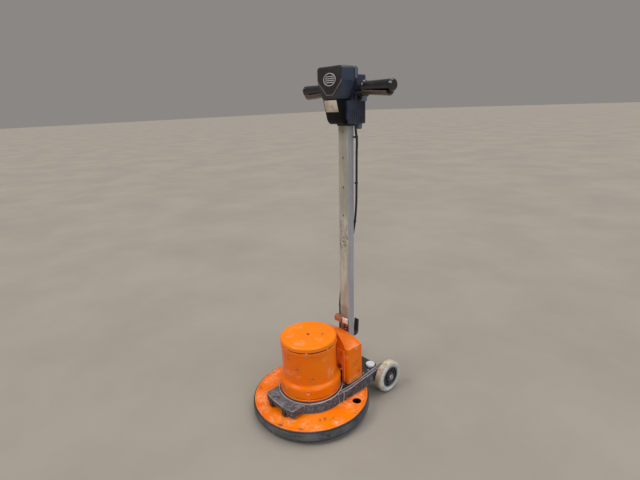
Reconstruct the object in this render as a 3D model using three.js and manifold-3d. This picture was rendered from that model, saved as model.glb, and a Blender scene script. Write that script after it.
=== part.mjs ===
// A single-disc rotary floor grinder, standing upright as it is stored. Millimetres, +Z up.
// The origin is on the disc's axis at floor level. The nose points along -Y, the operator stands at +Y,
// and +X is the operator's left-hand side.
import * as THREE from "three";
import { mergeVertices } from "three/addons/utils/BufferGeometryUtils.js";
import Module from "manifold-3d";

const wasm = await Module();
wasm.setup();

// ---- Driving dimensions ----

const GAP = 0.3; // seating gap between neighbouring pieces
const BIG = 32; // segments of a large turned part
const MEDIUM = 20;
const SMALL = 12;
const TINY = 8;

const disc = { radius: 198, thickness: 12, solidCentre: 60, grooves: 12, grooveWidth: 9, grooveDepth: 5 };
const driver = { bottom: 12.3, radius: 197, plateTop: 18, hubRadius: 30, hubTop: 44 };
const deck = { radius: 209.6, top: 57, rimTop: 56, valley: 53, skirtBottom: 34, thickness: 5, opening: 60 };
const port = { x: 155.6, y: 82.9, radius: 16 };
const bumper = { radius: 216, bottom: 15, top: 56 };
const shaft = { radius: 12, bottom: 24.3 };
const gearbox = { radius: 100, floor: 57.3, top: 90, bore: 91.3, seat: 17.3 };
gearbox.boss = { bottom: 46, radius: 24 };
const gear = { module: 2.5, sun: 9, planet: 27, ring: 63, bottom: 67, width: 12, planets: 3, pinRadius: 6 };
gear.addendum = 0.9 * gear.module;
gear.dedendum = 1.2 * gear.module;
const motor = { radius: 99, skirt: 112, flangeBottom: 90.3, flangeTop: 100.3, top: 275 };
motor.skirtBottom = 104.3;
const cap = { bottom: 280, top: 297.4, radius: 101, holeRadius: 6 };
const lugs = { count: 8, upperWidth: 6, lowerWidth: 11 };
const stator = { outer: 94.7, bore: 52, bottom: 160, top: 235 };
const rotor = { radius: 51, journal: 8.5, spindle: 5, fanSeat: 7.5, top: 280 };
const fan = { radius: 82, bottom: 264, top: 278, blades: 8 };
const bearing = { outer: 17.4, inner: 8.8, width: 6.7, lower: 93.3, upper: 255, hole: 9.5 };
const yoke = { bore: 115, bottom: 57.3, top: 90, noseHalf: 77, noseFront: 157, noseCorner: 149, rear: 285 };
const plate = { bottom: 86, top: 90, rear: 267, front: 122.5 };
plate.sides = [[110, 85], [108.5, 160], [97, 257]];
const wheel = { x: 145, y: 270, z: 62, radius: 61.7, width: 32, bead: 40, axle: 10 };
const box = { half: 106, front: 92, rear: 165, bottom: 90.3, shoulder: 232.5 };
box.frontArch = 101;
box.rearArch = 272;
box.wall = 3;
box.corner = 12;
box.room = { upper: 103.5, lower: 114.8 }; // radii of the hollow front, which clears the motor

const pivot = { y: 195.3, z: 112, radius: 6 };
const lean = 1.22; // degrees that the upright column leans back
const column = { halfX: 22.5, halfV: 15.5, wall: 2.5, top: 1032, holes: [487, 585, 686, 789, 876] };
const bracket = { earIn: 23.2, earOut: 28.2, sector: 40.3, front: 15.5, rear: 36 };
const lock = { height: 45, barRadius: 4, barHalf: 30, rodRadius: 2.5, collar: 161.3 };
const lever = { pivotX: 14, pivotH: 160, front: 26, back: 21, stubX: -6.5, stubRadius: 3 };
const bar = { h: 1016, radius: 12.5, half: 197 };
const grip = { inner: 84, outer: 205, radius: 18.25 };
const trigger = { drop: 4.3, pivotX: 56, pivotBelow: 24, from: 90, to: 188 };
trigger.trough = { inner: 19.3, outer: 21.5, start: 200, end: 340 };
const head = { bottom: 902, split: 981, shoulder: 1038, top: 1081, front: 74, joint: 20, half: 58.6 };
const rearCover = { half: 46, back: 47, lumpBottom: 990, lumpTop: 1058, shieldBack: 3, lowerTop: 988 };
rearCover.flank = { inner: 33.3, front: -38, top: 976, chamfer: [12, 18] }; // beside the chin
const safety = { radius: 9, h: 1030 };
const lead = { radius: 4, exitX: 40, exitV: 4 };
const plateGland = { x: -43, y: 202, radius: 8, height: 12 };
const degree = Math.PI / 180; // radians

// ---- Small tools for shapes and solids ----

// A closed mesh as a solid that can be cut and joined.
function solid(geometry) {
  const bare = new THREE.BufferGeometry();
  bare.setAttribute("position", geometry.getAttribute("position"));
  if (geometry.index) bare.setIndex(geometry.index);
  const merged = mergeVertices(bare, 1e-4);
  const vertProperties = new Float32Array(merged.attributes.position.array);
  const triVerts = new Uint32Array(merged.index.array);
  return new wasm.Manifold(new wasm.Mesh({ numProp: 3, vertProperties, triVerts }));
}

function geometryOf(manifold) {
  const mesh = manifold.getMesh();
  const geometry = new THREE.BufferGeometry();
  geometry.setAttribute("position", new THREE.BufferAttribute(new Float32Array(mesh.vertProperties), 3));
  geometry.setIndex(new THREE.BufferAttribute(new Uint32Array(mesh.triVerts), 1));
  const flat = geometry.toNonIndexed();
  flat.computeVertexNormals();
  return flat;
}

function join(first, ...others) {
  let whole = solid(first);
  for (const other of others) whole = whole.add(solid(other));
  return geometryOf(whole);
}

function cut(first, ...tools) {
  let whole = solid(first);
  for (const tool of tools) whole = whole.subtract(solid(tool));
  return geometryOf(whole);
}

// A turned shape about Z from [radius, height] points, which start and end on the axis or form a ring.
function turned(profile, segments) {
  const points = profile.map(([radius, height]) => new THREE.Vector2(radius, height));
  if (THREE.ShapeUtils.area(points) < 0) points.reverse();
  if (points[0].x > 0) points.push(points[0].clone());
  return new THREE.LatheGeometry(points, segments).rotateX(Math.PI / 2);
}

const alongX = (geometry) => geometry.rotateY(Math.PI / 2);

// A cylinder on the Z axis between two heights.
function rod(radius, from, to, segments = SMALL) {
  const cylinder = new THREE.CylinderGeometry(radius, radius, to - from, segments);
  return cylinder.rotateX(Math.PI / 2).translate(0, 0, (from + to) / 2);
}

// A cylinder along Y between two places.
function rodY(radius, from, to, segments = SMALL) {
  return new THREE.CylinderGeometry(radius, radius, to - from, segments).translate(0, (from + to) / 2, 0);
}

function block([x0, x1], [y0, y1], [z0, z1]) {
  const shape = new THREE.BoxGeometry(x1 - x0, y1 - y0, z1 - z0);
  return shape.translate((x0 + x1) / 2, (y0 + y1) / 2, (z0 + z1) / 2);
}

const vectors = (outline) => outline.map(([a, b]) => new THREE.Vector2(a, b));

// An outline, with any holes in it, given thickness along Z.
function extruded(outline, depth, ...holes) {
  const shape = new THREE.Shape(vectors(outline));
  shape.holes.push(...holes.map((hole) => new THREE.Path(vectors(hole))));
  return new THREE.ExtrudeGeometry(shape, { depth, bevelEnabled: false });
}

// An [x, z] outline given thickness from y0 to y1.
const frontPlate = (outline, y0, y1) => extruded(outline, y1 - y0).rotateX(Math.PI / 2).translate(0, y1, 0);

// A [y, z] outline given thickness from x0 to x1.
const sidePlate = (outline, x0, x1) =>
  extruded(outline, x1 - x0).rotateX(Math.PI / 2).rotateZ(Math.PI / 2).translate(x0, 0, 0);

const mirrored = (half) => [...half, ...half.map(([a, b]) => [-a, b]).reverse()];

function arc(centreX, centreY, radius, fromDegrees, toDegrees, steps) {
  return Array.from({ length: steps + 1 }, (_, i) => {
    const angle = (fromDegrees + ((toDegrees - fromDegrees) * i) / steps) * degree;
    return [centreX + radius * Math.cos(angle), centreY + radius * Math.sin(angle)];
  });
}

const circle = (radius, sides) => arc(0, 0, radius, 0, 360 - 360 / sides, sides - 1);

// A solid between two outlines with the same number of points, one above the other along Z.
function loft(lower, lowerZ, upper, upperZ) {
  const count = lower.length;
  const corners = [...lower.map(([a, b]) => [a, b, lowerZ]), ...upper.map(([a, b]) => [a, b, upperZ])];
  const index = [];
  for (let i = 0; i < count; i++) {
    const next = (i + 1) % count;
    index.push(i, next, count + next, i, count + next, count + i);
  }
  for (const [a, b, c] of THREE.ShapeUtils.triangulateShape(vectors(lower), [])) index.push(c, b, a);
  for (const [a, b, c] of THREE.ShapeUtils.triangulateShape(vectors(upper), [])) {
    index.push(count + a, count + b, count + c);
  }
  const geometry = new THREE.BufferGeometry();
  geometry.setAttribute("position", new THREE.Float32BufferAttribute(corners.flat(), 3));
  geometry.setIndex(index);
  return geometry;
}

// A round cord through the given points.
function cord(points, radius, steps) {
  const knots = points.map((point) => new THREE.Vector3(...point));
  const extrudePath = new THREE.CatmullRomCurve3(knots, false, "centripetal");
  return new THREE.ExtrudeGeometry(new THREE.Shape(vectors(circle(radius, TINY))), { steps, extrudePath });
}

// ---- Materials ----

function finish(color, roughness, metalness = 0) {
  return new THREE.MeshStandardMaterial({ color, roughness, metalness });
}

const orangePaint = finish(0xe0690c, 0.45);
const blackRubber = finish(0x4a4945, 0.85);
const castFrame = finish(0x55565c, 0.6, 0.4);
const blackSteel = finish(0x1b1c1f, 0.45, 0.5);
const bareSteel = finish(0x8d8f92, 0.35, 1);
const castAluminium = finish(0x9a9c9e, 0.5, 0.9);
const laminated = finish(0x6d6f74, 0.5, 0.9);
const copper = finish(0xa85a2a, 0.4, 0.8);
const gearSteel = finish(0x7c7f84, 0.3, 1);
const blackPlastic = finish(0x17181b, 0.5);
const glossBlack = finish(0x0b0c0e, 0.2);
const wheelTyre = finish(0x9a978f, 0.8);
const whitePlastic = finish(0xd8d7d2, 0.5);
const columnSteel = finish(0x97938a, 0.5, 0.8);
const pedalPaint = finish(0xa86040, 0.6);
const abrasive = finish(0x4f4a42, 0.95);
const leverBrown = finish(0x2c2420, 0.3);

// ---- The scene graph ----

const machine = new THREE.Group();
// The upright's own frame has x, then backwards, then up from the pivot.
const upright = new THREE.Group();
upright.position.set(0, pivot.y, pivot.z);
upright.rotation.x = -lean * degree;
machine.add(upright);

function part(name, geometry, material, parent = machine) {
  const mesh = new THREE.Mesh(geometry, material);
  mesh.name = name;
  parent.add(mesh);
  return mesh;
}

// ---- Disc, driver and deck ----

function abrasiveDisc() {
  const body = rod(disc.radius, 0, disc.thickness, BIG);
  const groove = block(
    [disc.solidCentre, disc.radius + 5],
    [-disc.grooveWidth / 2, disc.grooveWidth / 2],
    [-1, disc.grooveDepth],
  );
  const grooves = Array.from({ length: disc.grooves }, (_, i) =>
    groove.clone().rotateZ((2 * Math.PI * (i + 0.5)) / disc.grooves),
  );
  return cut(body, ...grooves);
}

function driveDisc() {
  const { bottom, radius, plateTop, hubRadius, hubTop } = driver;
  const bore = shaft.radius + GAP;
  const floor = shaft.bottom - GAP;
  const profile = [
    [0, bottom],
    [radius, bottom],
    [radius, plateTop],
    [150, plateTop + 2],
    [hubRadius + 4, plateTop + 2],
    [hubRadius, plateTop + 6],
    [hubRadius, hubTop],
    [bore, hubTop],
    [bore, floor],
    [0, floor],
  ];
  return turned(profile, BIG);
}

function deckPlate() {
  const { radius, top, rimTop, valley, skirtBottom, thickness, opening } = deck;
  const profile = [
    [opening, top],
    [118, top],
    [195, valley],
    [203, valley + 0.5],
    [206, rimTop],
    [radius, rimTop],
    [radius, skirtBottom],
    [radius - 4, skirtBottom],
    [radius - 6.5, valley - thickness],
    [118, top - thickness],
    [opening, top - thickness],
  ];
  return cut(turned(profile, BIG), rod(port.radius, 30, 70).translate(port.x, port.y, 0));
}

function bumperRing() {
  const { radius, bottom, top } = bumper;
  const seat = deck.radius + GAP;
  const lip = deck.skirtBottom - GAP;
  const profile = [
    [radius - 5, bottom],
    [radius - 1.5, bottom],
    [radius, bottom + 3],
    [radius, top - 4],
    [radius - 3, top],
    [seat, top],
    [seat, lip],
    [deck.radius - 4, lip],
    [deck.radius - 4, lip - 5],
    [radius - 7, lip - 5],
  ];
  return turned(profile, BIG);
}

part("abrasive_disc", abrasiveDisc(), abrasive);
part("drive_disc", driveDisc(), blackPlastic);
part("deck_plate", deckPlate(), orangePaint);
part("bumper_ring", bumperRing(), blackRubber);

// ---- Gearbox: a fixed ring, three planets on the output carrier, and the motor's sun gear ----

const pitchRadius = (teeth) => (gear.module * teeth) / 2;
const carrierRadius = pitchRadius(gear.sun) + pitchRadius(gear.planet);

// A ring of straight-sided teeth. The first tooth is centred on the X axis.
function teeth(count, root, tip, rootShare, tipShare) {
  const pitch = 360 / count;
  return Array.from({ length: count }, (_, i) => {
    const centre = i * pitch;
    const half = (share) => (share * pitch) / 2;
    return [
      [root, centre - half(rootShare)],
      [tip, centre - half(tipShare)],
      [tip, centre + half(tipShare)],
      [root, centre + half(rootShare)],
    ];
  })
    .flat()
    .map(([radius, angle]) => [radius * Math.cos(angle * degree), radius * Math.sin(angle * degree)]);
}

function outerGear(count, boreRadius, rootShare, tipShare) {
  const pitch = pitchRadius(count);
  const outline = teeth(count, pitch - gear.dedendum, pitch + gear.addendum, rootShare, tipShare);
  return extruded(outline, gear.width, circle(boreRadius, SMALL)).translate(0, 0, gear.bottom);
}

function ringGear() {
  const pitch = pitchRadius(gear.ring);
  const outline = circle(gearbox.bore - GAP, MEDIUM);
  // The tooth spaces are centred where the planets' outermost teeth reach them.
  const spaces = teeth(gear.ring, pitch - gear.addendum, pitch + gear.dedendum, 0.68, 0.34);
  return extruded(outline, gear.width, spaces).translate(0, 0, gear.bottom);
}

function gearboxHousing() {
  const { radius, floor, top, bore, boss, seat } = gearbox;
  const shaftHole = shaft.radius + 2 * GAP;
  const profile = [
    [seat, boss.bottom],
    [boss.radius, boss.bottom],
    [boss.radius, floor],
    [radius, floor],
    [radius, top],
    [bore, top],
    [bore, floor + 4],
    [shaftHole, floor + 4],
    [shaftHole, floor + 2],
    [seat, floor + 2],
  ];
  return turned(profile, MEDIUM);
}

function planetCarrier() {
  const plateBottom = gearbox.floor + 4.7;
  const plateTop = gear.bottom - 0.5;
  const plateRadius = carrierRadius + 2 * gear.pinRadius + 1;
  const body = turned(
    [
      [0, shaft.bottom],
      [shaft.radius, shaft.bottom],
      [shaft.radius, plateBottom],
      [plateRadius, plateBottom],
      [plateRadius, plateTop],
      [0, plateTop],
    ],
    MEDIUM,
  );
  const pins = planetAngles.map((angle) =>
    rod(gear.pinRadius, plateTop - 2, gear.bottom + gear.width + 1, SMALL)
      .translate(carrierRadius, 0, 0)
      .rotateZ(angle * degree),
  );
  return join(body, ...pins);
}

const ringOf = (inner, outer, bottom, top, segments) =>
  turned([[inner, bottom], [outer, bottom], [outer, top], [inner, top]], segments);

const planetAngles = Array.from({ length: gear.planets }, (_, i) => (i * 360) / gear.planets);
part("gearbox_housing", gearboxHousing(), castAluminium);
const outputRing = [shaft.radius + GAP, gearbox.seat - GAP];
const outputSpan = [gearbox.boss.bottom + 0.5, gearbox.floor + 1.7];
part("output_bearing", ringOf(...outputRing, ...outputSpan, MEDIUM), bareSteel);
part("ring_gear", ringGear(), gearSteel);
part("planet_carrier", planetCarrier(), gearSteel);
part("sun_gear", outerGear(gear.sun, 5.3, 0.72, 0.24), gearSteel);
planetAngles.forEach((angle, i) => {
  const shape = outerGear(gear.planet, gear.pinRadius + GAP, 0.62, 0.26);
  const planet = part(`planet_gear_${i + 1}`, shape, gearSteel);
  const place = new THREE.Vector2(carrierRadius, 0).rotateAround(new THREE.Vector2(), angle * degree);
  planet.position.set(place.x, place.y, 0);
  // Its outermost tooth points away from the sun, into a space of the ring.
  planet.rotation.z = angle * degree;
});

// ---- Motor ----

function motorFlange() {
  const { skirt, flangeBottom, flangeTop } = motor;
  const webTop = flangeBottom + 7.7;
  const seatFloor = bearing.lower - GAP;
  const seatTop = bearing.lower + bearing.width + 0.5;
  const profile = [
    [bearing.hole, flangeBottom],
    [skirt - 4, flangeBottom],
    [skirt, flangeBottom + 4],
    [skirt, flangeTop],
    [skirt - 6, flangeTop],
    [skirt - 6, webTop],
    [22, webTop],
    [22, seatTop],
    [bearing.outer + GAP, seatTop],
    [bearing.outer + GAP, seatFloor],
    [bearing.hole, seatFloor],
  ];
  return turned(profile, BIG);
}

// A ring of equal lugs that stand across one of the motor's air slots.
function lugRing([inner, outer], width, [bottom, top]) {
  const lug = block([inner, outer], [-width / 2, width / 2], [bottom, top]);
  return Array.from({ length: lugs.count }, (_, i) => lug.clone().rotateZ((2 * Math.PI * i) / lugs.count));
}

function motorHousing() {
  const { radius, skirt, skirtBottom, flangeTop, top } = motor;
  const wall = 4;
  const shell = turned(
    [
      [skirt - wall, skirtBottom],
      [skirt, skirtBottom],
      [skirt, 136],
      [skirt - 3, 142],
      [radius + 2, 147],
      [radius, 151],
      [radius, 262],
      [radius + 2, 264],
      [radius + 2, top],
      [radius - wall + 0.3, top],
      [radius - wall + 0.3, 150],
      [skirt - wall, 134],
    ],
    BIG,
  );
  const { lowerWidth, upperWidth } = lugs;
  const lower = lugRing([skirt - wall + 0.5, skirt - 0.8], lowerWidth, [flangeTop + GAP, skirtBottom + 2]);
  const upper = lugRing([radius - wall + 1, radius + 1.4], upperWidth, [top - 2, cap.bottom - GAP]);
  return join(shell, ...lower, ...upper);
}

function motorCap() {
  const { bottom, top, radius, holeRadius } = cap;
  const profile = [
    [radius - 4, bottom],
    [radius, bottom],
    [radius, top - 5],
    [radius - 3.5, top - 1],
    [radius - 12, top],
    [holeRadius, top],
    [holeRadius, top - 4],
    [radius - 6, top - 4],
  ];
  return turned(profile, BIG);
}

function upperEndShield() {
  const seatFloor = bearing.upper - GAP;
  const bottom = seatFloor - 2.7;
  const plateTop = bottom + 4;
  const seatTop = bearing.upper + bearing.width + GAP;
  const profile = [
    [bearing.hole, bottom],
    [stator.outer, bottom],
    [stator.outer, plateTop],
    [22, plateTop],
    [22, seatTop],
    [bearing.outer + GAP, seatTop],
    [bearing.outer + GAP, seatFloor],
    [bearing.hole, seatFloor],
  ];
  return turned(profile, MEDIUM);
}

function winding(bottom, top) {
  const mid = (bottom + top) / 2;
  const profile = [
    [58, bottom],
    [82, bottom],
    [87, mid],
    [82, top],
    [58, top],
    [55, mid],
  ];
  return turned(profile, MEDIUM);
}

function rotorShaft() {
  const { radius, journal, spindle, fanSeat, top } = rotor;
  const gearTop = gear.bottom + gear.width + 3;
  const fanBottom = bearing.upper + bearing.width + 0.8;
  const profile = [
    [0, gear.bottom],
    [spindle, gear.bottom],
    [spindle, gearTop],
    [journal, gearTop],
    [journal, stator.bottom - 10],
    [radius / 4, stator.bottom - 10],
    [radius / 4, stator.top + 10],
    [journal, stator.top + 10],
    [journal, fanBottom],
    [fanSeat, fanBottom + 0.5],
    [fanSeat, top],
    [0, top],
  ];
  return turned(profile, SMALL);
}

function coolingFan() {
  const { radius, bottom, top, blades: count } = fan;
  const hub = ringOf(rotor.fanSeat + GAP, 20, bottom, top, SMALL);
  const backPlate = ringOf(15, radius, bottom, bottom + 2, MEDIUM);
  const blade = block([18, radius - 1], [-1.2, 1.2], [bottom + 1, top]);
  const blades = Array.from({ length: count }, (_, i) => blade.clone().rotateZ((2 * Math.PI * i) / count));
  return join(hub, backPlate, ...blades);
}

part("motor_flange", motorFlange(), orangePaint);
part("motor_housing", motorHousing(), orangePaint);
part("motor_cap", motorCap(), orangePaint);
part("upper_end_shield", upperEndShield(), castAluminium);
part("stator_core", ringOf(stator.bore, stator.outer, stator.bottom, stator.top, MEDIUM), laminated);
part("winding_upper", winding(stator.top + GAP, stator.top + 14), copper);
part("winding_lower", winding(stator.bottom - 14, stator.bottom - GAP), copper);
part("rotor_shaft", rotorShaft(), gearSteel);
const rotorCore = ringOf(rotor.radius / 4 + GAP, rotor.radius, stator.bottom, stator.top, MEDIUM);
part("rotor_core", rotorCore, laminated);
part("cooling_fan", coolingFan(), blackPlastic);
for (const [word, bottom] of [["upper", bearing.upper], ["lower", bearing.lower]]) {
  const { inner, outer, width } = bearing;
  part(`${word}_bearing`, ringOf(inner, outer, bottom, bottom + width, MEDIUM), bareSteel);
}

// ---- Yoke, rear plate, axle and wheels ----

function yokeFrame() {
  const { bore, bottom, top, noseHalf, noseFront, noseCorner, rear } = yoke;
  const inner = bore - 5;
  const ring = turned([[inner, bottom], [128, bottom], [121, top - 3], [119, top], [inner, top]], BIG);
  const nose = extruded(
    mirrored([
      [noseHalf - 3, -90],
      [noseHalf, -100],
      [noseHalf, -noseCorner + 6],
      [noseHalf - 5, -noseCorner],
      [40, -noseFront + 1],
      [0.01, -noseFront],
    ]),
    top - 62,
  ).translate(0, 0, 62);
  const undercut = block([-52, 52], [-noseFront - 5, -132], [55, 74]);
  const latches = [-36, 36].map((x) => block([x - 9, x + 9], [-noseFront - 5, -130], [64, 75]));
  const arms = [1, -1].map((side) => {
    const place = ([x, y]) => [side * x, y];
    const inside = [[98, rear], [98, 270], [110, 160], [113, 85], [108, 40]];
    const lower = [[127, 25], [130, 90], [130.5, 150], [126.5, 204], [126, rear], ...inside].map(place);
    const upper = [[120, 25], [125.5, 80], [120.5, 135], [117.7, 197], [114, rear], ...inside].map(place);
    if (side < 0) {
      lower.reverse();
      upper.reverse();
    }
    return loft(lower, bottom, upper, top);
  });
  const drops = [1, -1].map((side) =>
    loft(
      dropOutline(side, 118),
      wheel.z - 18,
      dropOutline(side, 125),
      bottom + 1,
    ),
  );
  const crossBar = block([-109, 109], [190, 206], [68, plate.bottom - GAP]);
  const axleHole = alongX(rod(wheel.axle + GAP, -140, 140)).translate(0, wheel.y, wheel.z);
  const body = join(cut(join(ring, nose), undercut), ...latches, ...arms, ...drops, crossBar);
  return cut(body, rod(bore, 40, 100, BIG), axleHole);
}

// The lower part of an arm behind the deck, which carries the axle.
function dropOutline(side, outerX) {
  const outline = [[106, 216], [outerX, 216], [outerX, yoke.rear], [106, yoke.rear]];
  const placed = outline.map(([x, y]) => [side * x, y]);
  return side > 0 ? placed : placed.reverse();
}

function rearPlate() {
  const { bottom, top, rear, front, sides } = plate;
  const edge = Math.asin(107.5 / front) / degree;
  const left = [...sides, [87, rear]];
  const right = left.map(([x, y]) => [-x, y]).reverse();
  const outline = [...arc(0, 0, front, 90 + edge, 90 - edge, SMALL), ...left, ...right];
  return extruded(outline, top - bottom).translate(0, 0, bottom);
}

function rearCap(side) {
  const seat = plate.top + GAP;
  const rim = [[17, seat], [18, seat + 1.5], [18, seat + 7], [15.5, seat + 9.5]];
  return turned([[0, seat], ...rim, [0, seat + 10]], MEDIUM).translate(side * 79, 242, 0);
}

function tyre() {
  const { radius, width, bead } = wheel;
  const half = width / 2;
  const profile = [
    [bead, -half + 3],
    [bead + 6, -half],
    [radius - 6, -half],
    [radius, -half + 6],
    [radius, half - 6],
    [radius - 6, half],
    [bead + 6, half],
    [bead, half - 3],
  ];
  return alongX(turned(profile, MEDIUM));
}

function hub() {
  const rim = wheel.bead - GAP;
  const bore = wheel.axle + GAP;
  const profile = [
    [bore, -13],
    [rim, -13],
    [rim, 13],
    [rim - 5, 13],
    [rim - 7, 7],
    [20, 7],
    [18, 14],
    [bore, 14],
  ];
  return alongX(turned(profile, MEDIUM));
}

function axleCap() {
  const seat = wheel.x + wheel.width / 2 + 0.8;
  const radius = wheel.axle + 2;
  const rim = [[radius, seat], [radius, seat + 2], [wheel.axle, seat + 3.5]];
  return alongX(turned([[0, seat], ...rim, [0, seat + 3.5]], SMALL));
}

const aboutZ = (geometry, side) => (side > 0 ? geometry : geometry.rotateZ(Math.PI));
const axleRod = alongX(rod(wheel.axle, -wheel.x - 16.5, wheel.x + 16.5)).translate(0, wheel.y, wheel.z);
part("yoke_frame", yokeFrame(), castFrame);
part("rear_plate", rearPlate(), blackSteel);
part("axle", axleRod, bareSteel);
for (const [side, word] of [[1, "left"], [-1, "right"]]) {
  part(`wheel_tyre_${word}`, aboutZ(tyre(), side).translate(side * wheel.x, wheel.y, wheel.z), wheelTyre);
  part(`wheel_hub_${word}`, aboutZ(hub(), side).translate(side * wheel.x, wheel.y, wheel.z), blackPlastic);
  part(`axle_cap_${word}`, aboutZ(axleCap(), side).translate(0, wheel.y, wheel.z), bareSteel);
  part(`rear_cap_${word}`, rearCap(side), whitePlastic);
}

// ---- Electrical box behind the motor ----

// A section across the box: upright sides, a short flat shoulder where there is one, and an arched crown.
function archOutline(archRadius, archHalf, inset, bottom) {
  const half = box.half - inset;
  const shoulder = box.shoulder - inset;
  const centre = box.shoulder - Math.sqrt(archRadius ** 2 - archHalf ** 2);
  const radius = archRadius - inset;
  const reach = Math.min(half - 0.5, Math.sqrt(radius ** 2 - (shoulder - centre) ** 2));
  const side = Math.acos(reach / radius) / degree;
  const crown = arc(0, centre, radius, side, 180 - side, 12);
  return [[-half, bottom], [half, bottom], [half, shoulder - 0.5], ...crown, [-half, shoulder - 0.5]];
}

// The crown is a half round at the front, between the corners, and shallow at the rear.
function boxForm(inset, bottom) {
  const front = archOutline(box.frontArch, box.half - box.corner, inset, bottom);
  const rear = archOutline(box.rearArch, box.half - 0.5, inset, bottom);
  const form = loft(rear, -(box.rear - inset), front, -(box.front + inset));
  return form.rotateX(Math.PI / 2);
}

// The room that the motor and its skirt take up, grown by a wall thickness.
function motorRoom(extra) {
  const upper = box.room.upper + extra;
  const lower = box.room.lower + extra;
  return turned([[0, 60], [lower, 60], [lower, 142], [upper, 153], [upper, 320], [0, 320]], BIG);
}

// What is cut away to round an upright front corner.
function cornerWaste(side, inset) {
  const x = side * (box.half - box.corner);
  const y = box.front + box.corner;
  const square = block([x, x + side * 20].sort((a, b) => a - b), [y - 20, y], [80, 320]);
  return cut(square, rod(box.corner - inset, 70, 330, BIG).translate(x, y, 0));
}

function electricalBox() {
  const waste = (inset) => [cornerWaste(1, inset), cornerWaste(-1, inset)];
  const outside = cut(boxForm(0, box.bottom), motorRoom(0), ...waste(0));
  const inside = cut(boxForm(box.wall, box.bottom - 5), motorRoom(box.wall), ...waste(box.wall));
  return cut(outside, inside);
}

part("electrical_box", electricalBox(), orangePaint);
part("capacitor", rod(18, 92, 190).translate(52, 142, 0), castAluminium);

// ---- Column foot: bracket, pivot pin and friction lock ----

function columnBracket() {
  const { earIn, earOut, sector, front, rear } = bracket;
  const floor = plate.top + GAP - pivot.z;
  const frontAngle = 180 - Math.acos(front / sector) / degree;
  const rim = arc(0, 0, sector, frontAngle, 18, 10);
  const ear = [[-front, floor], ...rim, [rear, floor]].reverse();
  const base = block([-33, 33], [-front, rear], [floor, floor + 4]);
  const ears = [earIn, -earOut].map((x) => sidePlate(ear, x, x + earOut - earIn));
  const hole = alongX(rod(pivot.radius + GAP, -40, 40));
  return cut(join(base, ...ears), hole).translate(0, pivot.y, pivot.z);
}

function pivotPin() {
  const pin = rod(pivot.radius, -30, 30);
  const heads = [rod(9, bracket.earOut + GAP, 32), rod(9, -32, -bracket.earOut - GAP)];
  return alongX(join(pin, ...heads)).translate(0, pivot.y, pivot.z);
}

part("column_bracket", columnBracket(), blackSteel);
part("pivot_pin", pivotPin(), bareSteel);

function columnTube() {
  const { halfX, halfV, wall, top } = column;
  const side = [...arc(0, 0, halfV, 180, 360, 8), [halfV, top], [-halfV, top]];
  const outside = sidePlate(side, -halfX, halfX);
  const inside = block([-halfX + wall, halfX - wall], [-halfV + wall, halfV - wall], [-30, top + 5]);
  const pinHole = alongX(rod(pivot.radius + GAP, -40, 40));
  const barHole = alongX(rod(bar.radius + GAP, -40, 40)).translate(0, 0, bar.h);
  const lockSlot = block([-40, 40], [-4.6, 4.6], [lock.height - 4.6, lock.height + 10]);
  const stubSlot = block([lever.stubX - 3.6, lever.stubX + 3.6], [-20, -10], [154, 168]);
  const holes = column.holes.map((h) => rodY(2.5, -20, -10, TINY).translate(0, 0, h));
  return cut(outside, inside, pinHole, barHole, lockSlot, stubSlot, ...holes);
}

function lockBar() {
  const { height, barRadius, barHalf, rodRadius, collar } = lock;
  const crossBar = alongX(rod(barRadius, -barHalf, barHalf, TINY)).translate(0, 0, height);
  return join(crossBar, rod(rodRadius, height, collar + 4, TINY), rod(9, collar, collar + 3.5, SMALL));
}

// The release lever: a paddle to the operator's right, a bent middle, and a stub that lifts the lock bar.
function tiltLever() {
  const { pivotX, pivotH, front, back, stubX, stubRadius } = lever;
  const outline = [
    [-43, 164],
    [-43, 180],
    [-31, 193],
    [-10, 190],
    [4, 184],
    [24, 186],
    [25, 170],
    [24, 154],
    [14, 150],
    [-10, 152],
    [-17, 160],
    [-38, 159],
  ];
  const flat = frontPlate(outline.reverse(), -front, -back);
  const stub = rodY(stubRadius, -front, 6, TINY).translate(stubX, 0, 158);
  const hole = rodY(3.8, -front - 2, -back + 2, TINY).translate(pivotX, 0, pivotH);
  return cut(join(flat, stub), hole);
}

function leverBracket() {
  const seat = column.halfV + GAP;
  const back = frontPlate([[-1, 130], [22, 130], [22, 172], [-1, 172]], -seat - 3, -seat);
  const pin = rodY(3.5, -lever.front - 4, -seat - 1, TINY).translate(lever.pivotX, 0, lever.pivotH);
  return join(back, pin);
}

function cableHook() {
  const seat = column.halfV + GAP;
  const outline = [
    [seat, 88],
    [seat + 28, 88],
    [54, 96],
    [57, 152],
    [50, 153],
    [45, 104],
    [seat + 5, 100],
    [seat + 5, 150],
    [seat, 150],
  ];
  return sidePlate(outline, -9, 9);
}

function columnCollar() {
  const outer = block([-26, 26], [-19, 19], [head.bottom - 6.3, head.bottom - GAP]);
  const { halfX, halfV } = column;
  return cut(outer, block([-halfX - GAP, halfX + GAP], [-halfV - GAP, halfV + GAP], [800, 1000]));
}

part("column_tube", columnTube(), columnSteel, upright);
part("lock_bar", lockBar(), bareSteel, upright);
part("tilt_lever", tiltLever(), pedalPaint, upright);
part("lever_bracket", leverBracket(), pedalPaint, upright);
part("cable_hook", cableHook(), blackPlastic, upright);
part("column_collar", columnCollar(), blackPlastic, upright);

// ---- Head ----

// The shield-shaped front view of the upper head, drawn in by an inset.
function shield(inset) {
  const { split, shoulder, top, half } = head;
  return mirrored([
    [35 - inset, split + GAP + inset],
    [49.6 - inset, 1013],
    [half - inset, shoulder],
    [half - inset, top - 7],
    [half - 7 - inset, top - inset],
  ]);
}

function headFrontCover() {
  const { front, joint } = head;
  return cut(frontPlate(shield(0), -front, -joint), frontPlate(shield(3), -front + 3, -joint + 5));
}

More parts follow.
